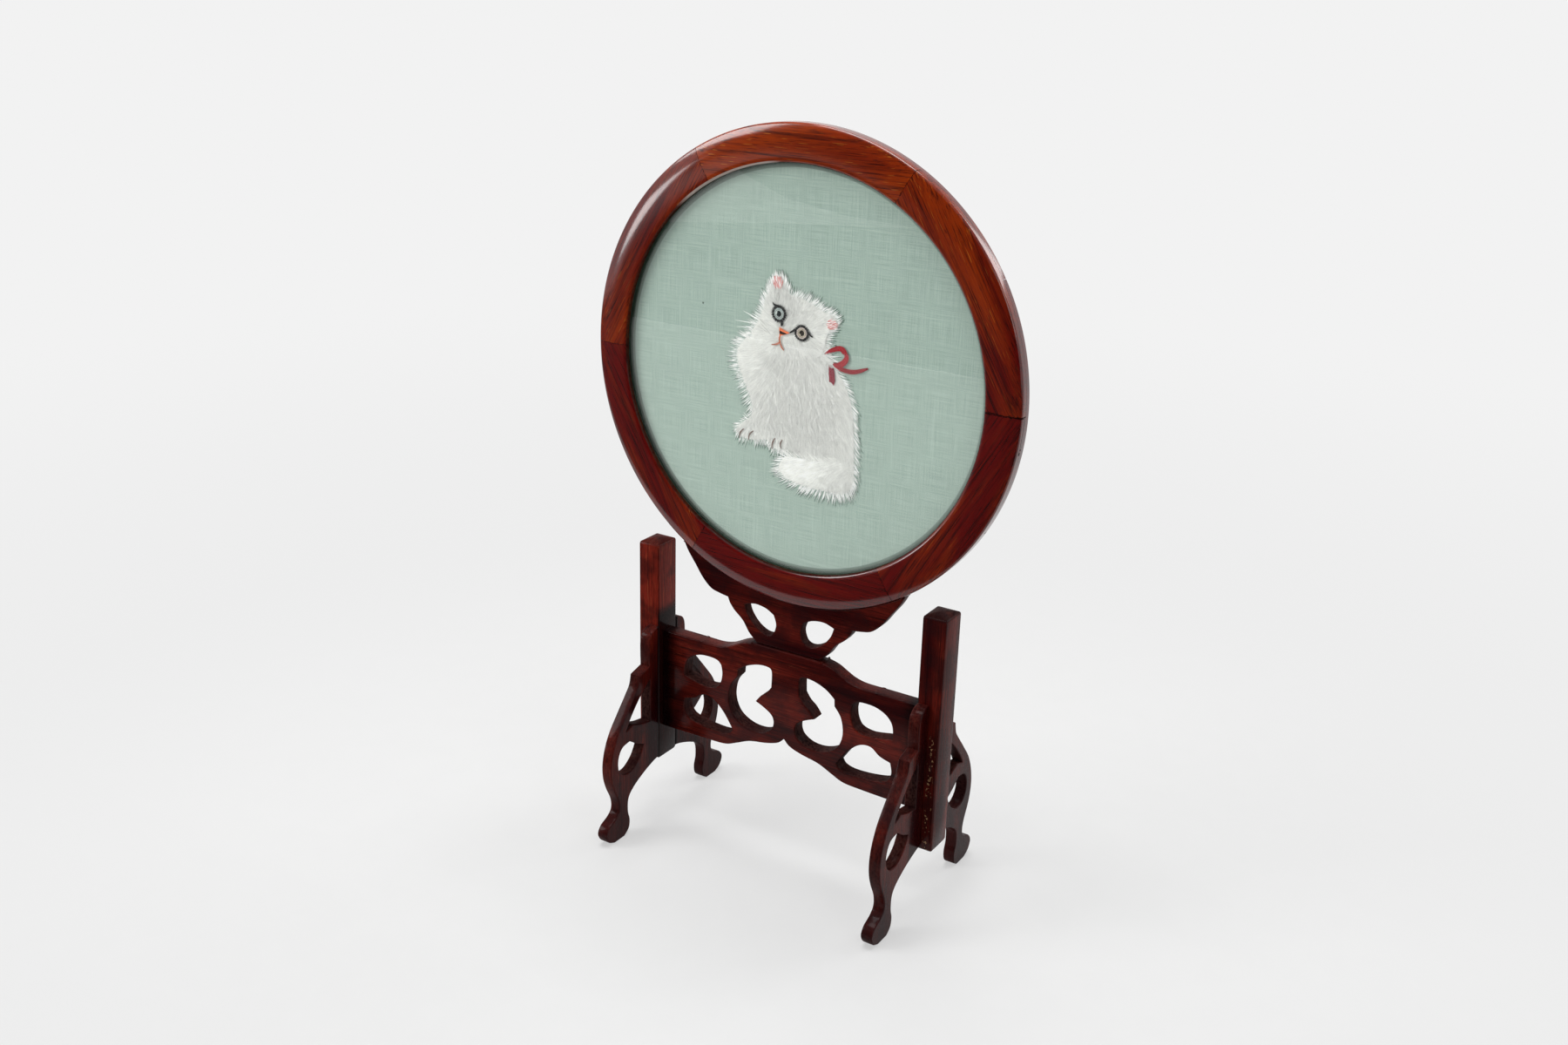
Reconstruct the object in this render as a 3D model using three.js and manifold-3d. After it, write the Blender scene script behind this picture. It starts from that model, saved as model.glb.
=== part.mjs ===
// A round table screen: silk embroidered alike on both faces, glazed in a ring of glued hardwood boards, which
// turns on a pin in the carved rail of a two-post stand. Millimetres, +Z up, the table at z = 0, the rail along X.
import * as THREE from 'three';
import { mergeVertices } from 'three/addons/utils/BufferGeometryUtils.js';
import Module from 'manifold-3d';

const wasm = await Module();
wasm.setup();

// Ring
const RING_RADIUS = 100;
const RING_DEPTH = 9.4;
const FACE_WIDTH = 15.3;
const OUTER_ROUND = 3;
const INNER_ROUND = 1.2;
const GROOVE_DEPTH = 4.2;
const BOARDS = 6;
const RING_STEPS = 72;
const ROUND_STEPS = 4;

// Filling of the ring
const SILK_THICKNESS = 0.3;
const SPACER_THICKNESS = 1.1;
const SPACER_WIDTH = 3;
const GLASS_THICKNESS = 1;
const STITCH_RELIEF = 0.5;
const CAT_HEIGHT = 89.3;

// Stand
const POST_SPACING = 142.4;
const POST_WIDTH = 10.8;
const POST_DEPTH = 13.4;
const POST_FOOT_Z = 28.4;
const POST_LENGTH = 106;
const POST_DOME = 1.5;
const POST_CHAMFER = 1.2;
const RAIL_THICKNESS = 7;
const RAIL_LOW_Z = 44.5;
const RAIL_HEIGHT = 54.7;
const TENON_THICKNESS = 3.2;
const TENON_LENGTH = 6;
const TENON_SHOULDER = 5;
const BRACKET_THICKNESS = 5.3;
const BRACKET_REACH = 39.4;
const BRACKET_HEIGHT = 96;
const TONGUE_THICKNESS = 2;
const TONGUE_DEPTH = 2.1;
const TONGUE_INSET = 6;

// Saddle and pivot
const SADDLE_THICKNESS = 5;
const SADDLE_HALF_SPAN = 55.5;
const SADDLE_DROP = 22.9;
const DOWEL_DIAMETER = 2.4;
const DOWEL_OFFSET = 30;
const DOWEL_IN_RING = 7;
const DOWEL_IN_SADDLE = 9;
const PIN_DIAMETER = 3;
const PIN_IN_RAIL = 14;
const PIN_IN_SADDLE = 12;

// Clearances
const GLUE_LINE = 0.1;
const LAYER_GAP = 0.1;
const RUNNING_GAP = 0.3;
const PIN_CLEARANCE = 0.08;

// Worked out from the sizes above
const innerRadius = RING_RADIUS - FACE_WIDTH;
const grooveRadius = innerRadius + GROOVE_DEPTH;
const spacerStart = SILK_THICKNESS / 2 + LAYER_GAP;
const glassStart = spacerStart + SPACER_THICKNESS + LAYER_GAP;
const grooveHalf = glassStart + GLASS_THICKNESS + LAYER_GAP;
const crestZ = RAIL_LOW_Z + RAIL_HEIGHT;
const saddleZ = crestZ + RUNNING_GAP;
const ringZ = saddleZ + SADDLE_DROP + RING_RADIUS;
const postX = POST_SPACING / 2;
const innerFaceX = postX - POST_WIDTH / 2;

const FRAME_WOOD = { color: 0x8f2f17, roughness: 0.28, metalness: 0 };
const STAND_WOOD = { color: 0x4a1712, roughness: 0.34, metalness: 0 };
const HOOP_WOOD = { color: 0x2f4a3d, roughness: 0.7, metalness: 0 };
const DOWEL_WOOD = { color: 0xb08a58, roughness: 0.7, metalness: 0 };
const SILK = { color: 0xa0b7aa, roughness: 0.75, metalness: 0 };
const FLOSS = { color: 0xe6e6e0, roughness: 0.55, metalness: 0 };
const GLASS = { color: 0xeef4f2, roughness: 0.04, metalness: 0, transparent: true, opacity: 0.2 };
const BRASS = { color: 0xb08d4a, roughness: 0.35, metalness: 1 };

// Solids and meshes
function solid(geometry) {
  const bare = geometry.clone();
  bare.deleteAttribute('normal');
  bare.deleteAttribute('uv');
  const merged = mergeVertices(bare, 1e-4);
  const vertProperties = new Float32Array(merged.attributes.position.array);
  const triVerts = new Uint32Array(merged.index.array);
  return new wasm.Manifold(new wasm.Mesh({ numProp: 3, vertProperties, triVerts }));
}

function part(name, body, finish) {
  const { vertProperties, triVerts } = body.getMesh();
  const geometry = new THREE.BufferGeometry();
  geometry.setAttribute('position', new THREE.BufferAttribute(vertProperties, 3));
  geometry.setIndex(new THREE.BufferAttribute(triVerts, 1));
  geometry.computeVertexNormals();
  const mesh = new THREE.Mesh(geometry, new THREE.MeshStandardMaterial(finish));
  mesh.name = name;
  return mesh;
}

// A board standing in the XZ plane, cut to a shape and centred on y = 0
function board(shape, thickness, curveSegments = 12) {
  const geometry = new THREE.ExtrudeGeometry(shape, { depth: thickness, bevelEnabled: false, curveSegments });
  geometry.rotateX(Math.PI / 2);
  geometry.translate(0, thickness / 2, 0);
  return solid(geometry);
}

function block(width, depth, height, x, y, z) {
  const geometry = new THREE.BoxGeometry(width, depth, height);
  geometry.translate(x, y, z + height / 2);
  return solid(geometry);
}

function upright(diameter, length, x, z, sides = 20) {
  const geometry = new THREE.CylinderGeometry(diameter / 2, diameter / 2, length, sides);
  geometry.rotateX(Math.PI / 2);
  geometry.translate(x, 0, z + length / 2);
  return solid(geometry);
}

// A closed profile of [radius, y] points turned about the ring's own axis, which lies along Y
function turned(profile) {
  return solid(new THREE.LatheGeometry(profile.map(([r, y]) => new THREE.Vector2(r, y)), RING_STEPS));
}

// A disc or hoop between two radii, from one y to another
function hoop(inner, outer, from, to) {
  return turned([[inner, from], [outer, from], [outer, to], [inner, to], [inner, from]]);
}

function disc(radius, from, to) {
  return turned([[0, from], [radius, from], [radius, to], [0, to]]);
}

// Outlines are lists of stretches: a stretch of two points is straight, a longer one is a smooth curve
function trace(path, stretches, place) {
  stretches.forEach((stretch, index) => {
    const points = stretch.map(place);
    if (index === 0) path.moveTo(points[0].x, points[0].y);
    if (points.length === 2) path.lineTo(points[1].x, points[1].y);
    else path.splineThru(points.slice(1));
  });
  return path;
}

// Drops points that repeat the one before, also across the closing joint
function tidy(points) {
  return points.filter((point, i) => point.distanceTo(points[(i + points.length - 1) % points.length]) > 1e-3);
}

// A shape that is alike on both sides of x = 0, from the points of its right half
function bothSides(half) {
  const left = half.map(({ x, y }) => new THREE.Vector2(-x, y)).reverse();
  return new THREE.Shape(tidy([...half, ...left]));
}

// Ring
function quarterRound(centreR, centreY, radius, from) {
  const points = [];
  for (let i = 0; i <= ROUND_STEPS; i += 1) {
    const angle = from + (i / ROUND_STEPS) * (Math.PI / 2);
    points.push([centreR + radius * Math.cos(angle), centreY + radius * Math.sin(angle)]);
  }
  return points;
}

function ringLayer(side) {
  const face = RING_DEPTH / 2;
  const profile = [
    [innerRadius, -grooveHalf],
    ...quarterRound(innerRadius + INNER_ROUND, INNER_ROUND - face, INNER_ROUND, Math.PI),
    ...quarterRound(RING_RADIUS - OUTER_ROUND, OUTER_ROUND - face, OUTER_ROUND, -Math.PI / 2),
    [RING_RADIUS, -GLUE_LINE / 2],
    [grooveRadius, -GLUE_LINE / 2],
    [grooveRadius, -grooveHalf],
    [innerRadius, -grooveHalf],
  ];
  return turned(side < 0 ? profile : profile.map(([r, y]) => [r, -y]).reverse());
}

// The wedge between two glue joints, pulled in by half a glue line on each side
function boardWedge(middle) {
  const half = Math.PI / BOARDS;
  const far = RING_RADIUS * 1.4;
  const tip = GLUE_LINE / 2 / Math.sin(half);
  const corner = (angle, length) => new THREE.Vector2(
    tip * Math.cos(middle) + length * Math.cos(angle),
    tip * Math.sin(middle) + length * Math.sin(angle),
  );
  const shape = new THREE.Shape([
    corner(middle, 0), corner(middle - half, far), corner(middle, far), corner(middle + half, far),
  ]);
  return board(shape, RING_DEPTH * 2);
}

function dowelHoles() {
  const length = DOWEL_IN_RING + DOWEL_IN_SADDLE;
  const low = dowelFoot() - GLUE_LINE;
  const hole = (x) => upright(DOWEL_DIAMETER + 2 * GLUE_LINE, length + 2 * GLUE_LINE, x, low);
  return hole(-DOWEL_OFFSET).add(hole(DOWEL_OFFSET));
}

function dowelFoot() {
  const ringUnderside = ringZ - Math.sqrt(RING_RADIUS ** 2 - DOWEL_OFFSET ** 2);
  return ringUnderside - DOWEL_IN_SADDLE;
}

function ringBoards(label, side, stagger) {
  const layer = ringLayer(side);
  const holes = dowelHoles().translate([0, 0, -ringZ]);
  const boards = [];
  for (let i = 0; i < BOARDS; i += 1) {
    const middle = ((i + 0.5 + stagger) * 2 * Math.PI) / BOARDS;
    const piece = layer.intersect(boardWedge(middle)).subtract(holes);
    boards.push(part(`ring_${label}_${i + 1}`, piece, FRAME_WOOD));
  }
  return boards;
}

// Filling, from the silk outwards
function filling() {
  const rim = grooveRadius - LAYER_GAP;
  const pieces = [part('silk_panel', disc(rim, -SILK_THICKNESS / 2, SILK_THICKNESS / 2), SILK)];
  for (const [label, side] of [['front', -1], ['back', 1]]) {
    const between = (near, far) => (side < 0 ? [-far, -near] : [near, far]);
    const spacer = hoop(rim - SPACER_WIDTH, rim, ...between(spacerStart, spacerStart + SPACER_THICKNESS));
    const glass = disc(rim, ...between(glassStart, glassStart + GLASS_THICKNESS));
    pieces.push(part(`spacer_${label}`, spacer, HOOP_WOOD));
    pieces.push(part(`glass_${label}`, glass, GLASS));
    pieces.push(embroidery(label, between(spacerStart, spacerStart + STITCH_RELIEF)));
  }
  return pieces;
}

// The stitched cat: head, breast, back, paws and tail as overlapping pads, drawn from the ring's centre
const CAT_HEIGHT_DRAWN = 89.3;
const CAT_PADS = [
  { x: -3, z: 19, wide: 35, high: 31, turn: -0.45 },
  { x: -8, z: -3, wide: 44, high: 38, turn: 0.2 },
  { x: 9, z: -12, wide: 42, high: 52, turn: 0.15 },
  { x: -21, z: -27, wide: 16, high: 10, turn: -0.3 },
  { x: -8, z: -31, wide: 16, high: 9, turn: -0.3 },
  { x: 12, z: -39, wide: 43, high: 23, turn: -0.25 },
];
const CAT_EARS = [
  [[-3, 31], [-10, 38], [-16, 27]],
  [[14, 17], [17, 27], [7, 29]],
];

function embroidery(label, [from, to]) {
  const scale = CAT_HEIGHT / CAT_HEIGHT_DRAWN;
  const pad = ({ x, z, wide, high, turn }) => {
    const shape = new THREE.Shape();
    shape.absellipse(x, z, wide / 2, high / 2, 0, 2 * Math.PI, false, turn);
    return board(shape, to - from);
  };
  const ear = (corners) => board(new THREE.Shape(corners.map(([x, z]) => new THREE.Vector2(x, z))), to - from);
  const drawn = [...CAT_PADS.map(pad), ...CAT_EARS.map(ear)].reduce((sum, piece) => sum.add(piece));
  const body = drawn.scale([scale, 1, scale]).translate([0, (from + to) / 2, 0]);
  return part(`embroidery_${label}`, body, FLOSS);
}

// Saddle: drawn on the right from the middle of its foot to the tip, then mirrored
const SADDLE_SPAN_DRAWN = 55.5;
const SADDLE_TIP_DRAWN = 39.7;
const SADDLE_EDGE = [
  [[0, 0], [16, 0]],
  [[16, 0], [20, 3.6], [23.5, 8.6], [28, 12.4], [30.5, 15.4]],
  [[30.5, 15.4], [31.5, 17.8]],
  [[31.5, 17.8], [36, 18.5], [40.5, 19.8], [45, 23.8], [49, 29.3], [53, 34.8], [55.5, 39.7]],
];
const SADDLE_HOLE = [
  [[22.4, 16.4], [17.5, 17.9], [11.8, 17.2], [7.6, 15]],
  [[7.6, 15], [6.3, 10.6], [8, 6], [12, 5.1], [17, 7.6], [20.8, 12], [22.4, 16.4]],
];

function saddlePlaces() {
  const tipRise = SADDLE_DROP + RING_RADIUS - Math.sqrt(RING_RADIUS ** 2 - SADDLE_HALF_SPAN ** 2);
  const across = SADDLE_HALF_SPAN / SADDLE_SPAN_DRAWN;
  const up = tipRise / SADDLE_TIP_DRAWN;
  return (side) => ([x, z]) => new THREE.Vector2(side * x * across, saddleZ + z * up);
}

function saddle() {
  const place = saddlePlaces();
  const half = trace(new THREE.Shape(), SADDLE_EDGE, place(1)).getPoints(6);
  const slab = board(bothSides([...half, new THREE.Vector2(SADDLE_HALF_SPAN, ringZ)]), SADDLE_THICKNESS);
  const holes = [1, -1].map((side) => board(trace(new THREE.Shape(), SADDLE_HOLE, place(side)), SADDLE_THICKNESS * 2));
  const seat = disc(RING_RADIUS + GLUE_LINE, -SADDLE_THICKNESS, SADDLE_THICKNESS).translate([0, 0, ringZ]);
  const socket = upright(PIN_DIAMETER + 2 * GLUE_LINE, PIN_IN_SADDLE + GLUE_LINE + 1, 0, saddleZ - 1);
  const body = [...holes, seat, socket, dowelHoles()].reduce((rest, cut) => rest.subtract(cut), slab);
  return part('saddle', body, STAND_WOOD);
}

// Rail: drawn on the right from the middle to the post
const RAIL_HALF_DRAWN = 66;
const RAIL_HEIGHT_DRAWN = 54.7;
const RAIL_END_DRAWN = 48.2;
const RAIL_EDGE = [
  [[0, 54.7], [17.5, 54.7]],
  [[17.5, 54.7], [23, 53.4], [28, 50.9], [31.5, 49.3], [37, 48.2], [46, RAIL_END_DRAWN]],
  [[46, RAIL_END_DRAWN], [66, RAIL_END_DRAWN]],
  [[66, RAIL_END_DRAWN], [66, 0]],
  [[66, 0], [52, 0]],
  [[52, 0], [40, 0.3], [31, 0.9], [25, 3.2], [18, 6.2], [9, 8], [3, 10], [0, 12.8]],
];
const C_HOLE = [
  [[7.3, 36], [7.3, 43.6], [9.4, 45.2], [14.5, 44.9], [20.5, 42.7], [24.8, 39.4]],
  [[24.8, 39.4], [25, 36.2]],
  [[25, 36.2], [28.4, 31.5], [29.6, 24.5], [28, 18.5], [24.5, 14.7], [18.5, 12.4], [12, 12.5], [7, 15.2],
    [5.6, 19.4], [7, 22.7], [11, 25.2], [15.3, 27]],
  [[15.3, 27], [12.6, 30.4], [9.6, 32.8], [7.3, 36]],
];
const UPPER_HOLE = [
  [[34, 39.4], [36, 41.2], [40, 41.8], [45.5, 41.3], [50.5, 39], [53.3, 35.2], [54, 29]],
  [[54, 29], [49, 27.9], [42, 26.8], [36.5, 27.9], [34.2, 31], [33.4, 35.5], [34, 39.4]],
];
const LOWER_HOLE = [
  [[27.2, 9.2], [32.3, 16.5], [38, 21.4], [43.5, 22.2], [48, 19.2], [53.3, 17.6]],
  [[53.3, 17.6], [54, 12.6], [51.5, 8.4], [43, 6.4], [34, 5.9], [29, 7], [27.2, 9.2]],
];

function crossRail() {
  const railEnd = innerFaceX - GLUE_LINE;
  const across = railEnd / RAIL_HALF_DRAWN;
  const up = RAIL_HEIGHT / RAIL_HEIGHT_DRAWN;
  const place = (side) => ([x, z]) => new THREE.Vector2(side * x * across, RAIL_LOW_Z + z * up);
  const slab = board(bothSides(trace(new THREE.Shape(), RAIL_EDGE, place(1)).getPoints(6)), RAIL_THICKNESS);
  const holes = [1, -1].flatMap((side) => [C_HOLE, UPPER_HOLE, LOWER_HOLE].map((hole) => (
    board(trace(new THREE.Shape(), hole, place(side)), RAIL_THICKNESS * 2, 6))));
  const pinHole = upright(PIN_DIAMETER + 2 * PIN_CLEARANCE, PIN_IN_RAIL + 1, 0, crestZ - PIN_IN_RAIL);
  const tenons = [1, -1].map((side) => block(TENON_LENGTH + 1, TENON_THICKNESS, tenonHeight(),
    side * (railEnd + (TENON_LENGTH - 1) / 2), 0, RAIL_LOW_Z + TENON_SHOULDER));
  const carved = [...holes, pinHole].reduce((rest, cut) => rest.subtract(cut), slab);
  return part('cross_rail', tenons.reduce((sum, tenon) => sum.add(tenon), carved), STAND_WOOD);
}

function tenonHeight() {
  const endHeight = (RAIL_END_DRAWN * RAIL_HEIGHT) / RAIL_HEIGHT_DRAWN;
  return endHeight - 2 * TENON_SHOULDER;
}

// Posts
function postProfile(half) {
  const low = POST_FOOT_Z;
  const high = POST_FOOT_Z + POST_LENGTH;
  const profile = new THREE.Shape();
  profile.moveTo(POST_CHAMFER - half, low);
  profile.lineTo(half - POST_CHAMFER, low);
  profile.lineTo(half, low + POST_CHAMFER);
  profile.lineTo(half, high);
  profile.quadraticCurveTo(0, high + 2 * POST_DOME, -half, high);
  profile.lineTo(-half, low + POST_CHAMFER);
  profile.closePath();
  return profile;
}

function post(label, side) {
  const broad = board(postProfile(POST_WIDTH / 2), POST_DEPTH, 6);
  const deep = board(postProfile(POST_DEPTH / 2), POST_WIDTH, 6).rotate([0, 0, 90]);
  const body = broad.intersect(deep).translate([side * postX, 0, 0]);
  const fit = 2 * GLUE_LINE;
  const mortise = block(TENON_LENGTH + 1, TENON_THICKNESS + fit, tenonHeight() + fit,
    side * (innerFaceX + (TENON_LENGTH - 1) / 2), 0, RAIL_LOW_Z + TENON_SHOULDER - GLUE_LINE);
  const grooves = [1, -1].map((face) => block(TONGUE_THICKNESS + fit, TONGUE_DEPTH + 1, tongueHeight() + fit,
    side * bracketX(), face * (POST_DEPTH / 2 - (TONGUE_DEPTH - 1) / 2), tongueFoot() - GLUE_LINE));
  return part(`post_${label}`, [mortise, ...grooves].reduce((rest, cut) => rest.subtract(cut), body), STAND_WOOD);
}

function bracketX() {
  return innerFaceX + BRACKET_THICKNESS / 2;
}

// Foot brackets: drawn from the post's face outwards and from the table up
const BRACKET_REACH_DRAWN = 38.8;
const BRACKET_HEIGHT_DRAWN = 96;
const BRACKET_ROOT_DRAWN = 29.6;
const BRACKET_EDGE = [
  [[0, 29.6], [4.3, 28.6], [11.3, 26], [18.3, 22.4], [22.3, 18.4], [22.9, 12], [21.7, 7], [22.5, 2.6], [25.8, 0]],
  [[25.8, 0], [32.8, 0]],
  [[32.8, 0], [36.8, 2], [38.8, 6], [36.7, 9.6], [31.9, 12], [29.3, 15], [29.7, 20], [32.9, 27], [34.7, 33],
    [34.9, 39.5], [33.3, 46.5], [29.8, 53.5], [23.8, 61], [18.3, 67.5], [15.3, 71.5], [14.1, 76.4]],
  [[14.1, 76.4], [6.7, 78.4]],
  [[6.7, 78.4], [7, 83], [6.9, 90], [5.5, 93.6], [2.3, 95.4], [0, 96]],
];
const BRACKET_UPPER_HOLE = [
  [[6.3, 71.8], [6.3, 51]],
  [[6.3, 51], [12.8, 52.2], [18.8, 54.4]],
  [[18.8, 54.4], [23.9, 52.8]],
  [[23.9, 52.8], [20.3, 58.2], [13.8, 65.5], [6.3, 71.8]],
];
const BRACKET_LOWER_HOLE = [
  [[20.9, 46.8], [26.7, 45.6], [29.4, 41], [29.1, 35.4], [25.7, 31.8], [20.3, 31.6], [14.7, 35.4], [11.3, 41]],
  [[11.3, 41], [15.9, 43.2], [20.9, 46.8]],
];

function bracketPlace([out, z]) {
  const across = BRACKET_REACH / BRACKET_REACH_DRAWN;
  const up = BRACKET_HEIGHT / BRACKET_HEIGHT_DRAWN;
  return new THREE.Vector2(POST_DEPTH / 2 + GLUE_LINE + out * across, z * up);
}

function tongueFoot() {
  return (BRACKET_ROOT_DRAWN * BRACKET_HEIGHT) / BRACKET_HEIGHT_DRAWN + TONGUE_INSET;
}

function tongueHeight() {
  return BRACKET_HEIGHT - TONGUE_INSET - tongueFoot();
}

function bracket(label, side, face) {
  const shape = new THREE.Shape(tidy(trace(new THREE.Shape(), BRACKET_EDGE, bracketPlace).getPoints(5)));
  const holes = [BRACKET_UPPER_HOLE, BRACKET_LOWER_HOLE].map((hole) => (
    board(trace(new THREE.Shape(), hole, bracketPlace), BRACKET_THICKNESS * 2, 5)));
  const slab = holes.reduce((rest, hole) => rest.subtract(hole), board(shape, BRACKET_THICKNESS));
  const tongue = block(TONGUE_DEPTH + 1, TONGUE_THICKNESS, tongueHeight(),
    POST_DEPTH / 2 + GLUE_LINE - (TONGUE_DEPTH - 1) / 2, 0, tongueFoot());
  const mesh = part(`bracket_${label}`, slab.add(tongue), STAND_WOOD);
  mesh.position.x = side * bracketX();
  mesh.rotation.z = (face * Math.PI) / 2;
  return mesh;
}

function dowels() {
  const length = DOWEL_IN_RING + DOWEL_IN_SADDLE;
  return [['left', -1], ['right', 1]].map(([label, side]) => (
    part(`saddle_dowel_${label}`, upright(DOWEL_DIAMETER, length, side * DOWEL_OFFSET, dowelFoot()), DOWEL_WOOD)));
}

function pivotPin() {
  const foot = saddleZ - PIN_IN_RAIL;
  return part('pivot_pin', upright(PIN_DIAMETER, PIN_IN_RAIL + PIN_IN_SADDLE, 0, foot), BRASS);
}

const screenRing = new THREE.Group();
screenRing.position.z = ringZ;
screenRing.add(...ringBoards('front', -1, 0), ...ringBoards('back', 1, 0.5), ...filling());

const stand = new THREE.Group();
stand.add(crossRail(), post('left', -1), post('right', 1));
stand.add(bracket('front_left', -1, -1), bracket('front_right', 1, -1));
stand.add(bracket('back_left', -1, 1), bracket('back_right', 1, 1));

const screen = new THREE.Group();
screen.add(screenRing, saddle(), ...dowels(), pivotPin(), stand);

export default screen;
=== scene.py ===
"""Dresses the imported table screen: lacquered ring and stand, stretched silk, stitched cat, glass, floor and light."""

import logging
import math
import random
from bisect import bisect
from dataclasses import dataclass, field
from enum import Enum
from functools import reduce
from typing import Callable, Iterable, Mapping, Sequence

import bmesh
import bpy
from mathutils import Matrix, Vector, geometry, noise


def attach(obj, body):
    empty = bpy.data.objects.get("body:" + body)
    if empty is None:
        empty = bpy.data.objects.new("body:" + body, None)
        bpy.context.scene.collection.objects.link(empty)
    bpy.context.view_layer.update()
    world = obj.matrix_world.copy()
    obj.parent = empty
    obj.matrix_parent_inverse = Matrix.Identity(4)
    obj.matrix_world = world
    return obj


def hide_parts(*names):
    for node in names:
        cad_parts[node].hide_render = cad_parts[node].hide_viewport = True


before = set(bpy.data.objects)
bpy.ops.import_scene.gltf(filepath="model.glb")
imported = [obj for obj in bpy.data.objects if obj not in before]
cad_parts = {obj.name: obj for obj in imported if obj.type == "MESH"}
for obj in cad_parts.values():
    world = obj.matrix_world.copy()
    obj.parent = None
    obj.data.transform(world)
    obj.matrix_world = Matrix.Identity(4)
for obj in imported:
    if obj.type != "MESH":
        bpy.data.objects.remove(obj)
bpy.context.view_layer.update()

log = logging.getLogger("screen")
MM = 0.001
RING_MIDDLE = 222.4
Point2 = tuple[float, float]
Point3 = tuple[float, float, float]
Colour = tuple[float, float, float]
Face = tuple[int, ...]
Node, Socket = bpy.types.Node, bpy.types.NodeSocket
Mesh, Material = bpy.types.Mesh, bpy.types.Material


def tone(red: int, green: int, blue: int) -> Colour:
    """Turns a colour as a screen shows it, 0 to 255, into the linear one that a shader takes."""
    return tuple((c / 255 / 12.92) if c < 11 else ((c / 255 + 0.055) / 1.055) ** 2.4 for c in (red, green, blue))


class Body(Enum):
    """The rigid bodies that pieces ride on."""

    STAND = "stand"
    SCREEN = "screen"


class Side(Enum):
    """The two faces of the screen, as the sign of y that they look along."""

    FRONT = -1
    BACK = 1


def new_object(name: str, mesh: Mesh) -> bpy.types.Object:
    """Links a mesh to the scene as an object at the origin.

    Args:
        name: the object's name.
        mesh: its mesh.

    Returns:
        The object.
    """
    piece = bpy.data.objects.new(name, mesh)
    bpy.context.scene.collection.objects.link(piece)
    return piece


def new_mesh(name: str, points: Sequence[Sequence[float]], faces: Sequence[Face], closed: bool = True) -> Mesh:
    """Builds a mesh from its points and faces.

    Args:
        name: the mesh's name.
        points: where its corners are, in metres.
        faces: the corners of each face.
        closed: turns its faces outwards, which only a closed shape has.

    Returns:
        The mesh.
    """
    mesh = bpy.data.meshes.new(name)
    mesh.from_pydata(points, [], faces)
    if closed:
        outwards(mesh)
    return mesh


def outwards(mesh: Mesh) -> None:
    """Points a closed mesh's faces outwards.

    Args:
        mesh: the mesh.
    """
    work = bmesh.new()
    work.from_mesh(mesh)
    bmesh.ops.recalc_face_normals(work, faces=work.faces)
    work.to_mesh(mesh)
    work.free()


def store(mesh: Mesh, name: str, kind: str, values: Iterable[float]) -> None:
    """Stores an attribute on a mesh's points.

    Args:
        mesh: the mesh.
        name: the attribute's name.
        kind: FLOAT, FLOAT_VECTOR or FLOAT_COLOR.
        values: the numbers of all points, one point after the other.
    """
    key = {"FLOAT": "value", "FLOAT_VECTOR": "vector", "FLOAT_COLOR": "color"}[kind]
    mesh.attributes.new(name, kind, "POINT").data.foreach_set(key, list(values))


def store_grain(mesh: Mesh, points: Sequence[Sequence[float]], order: Sequence[int], seed: object) -> None:
    """Stores where each point lies in the tree that its board came from.

    Args:
        mesh: the board's mesh.
        points: its points, in metres.
        order: its axes, the one along the grain first.
        seed: picks the tree.
    """
    rng = random.Random(seed)
    shift = [rng.uniform(1, 9) for _ in range(3)]
    store(mesh, "grain", "FLOAT_VECTOR", [spot[a] + shift[k] for spot in points for k, a in enumerate(order)])


def smooth(mesh: Mesh, crease: float = 38.0) -> None:
    """Shades a mesh smooth, but keeps edges sharper than crease degrees."""
    mesh.polygons.foreach_set("use_smooth", [True] * len(mesh.polygons))
    mesh.set_sharp_from_angle(angle=math.radians(crease))


def seat(piece: bpy.types.Object, body: Body, node: str) -> None:
    """Makes a piece ride on a body and stand for a CAD node, which it hides.

    Args:
        piece: the finished piece.
        body: what it rides on.
        node: the CAD node that it replaces.
    """
    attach(piece, body.value)
    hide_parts(node)
    log.info("%s: %d faces on %s", piece.name, len(piece.data.polygons), body.value)


def spline(a: Vector, b: Vector, c: Vector, d: Vector, t: float) -> Vector:
    """Returns a point on the smooth line from b to c that comes from a and goes on to d, with t from 0 to 1."""
    return 0.5 * (2 * b + (c - a) * t + (2 * a - 5 * b + 4 * c - d) * t ** 2 + (3 * b - a - 3 * c + d) * t ** 3)


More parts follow.
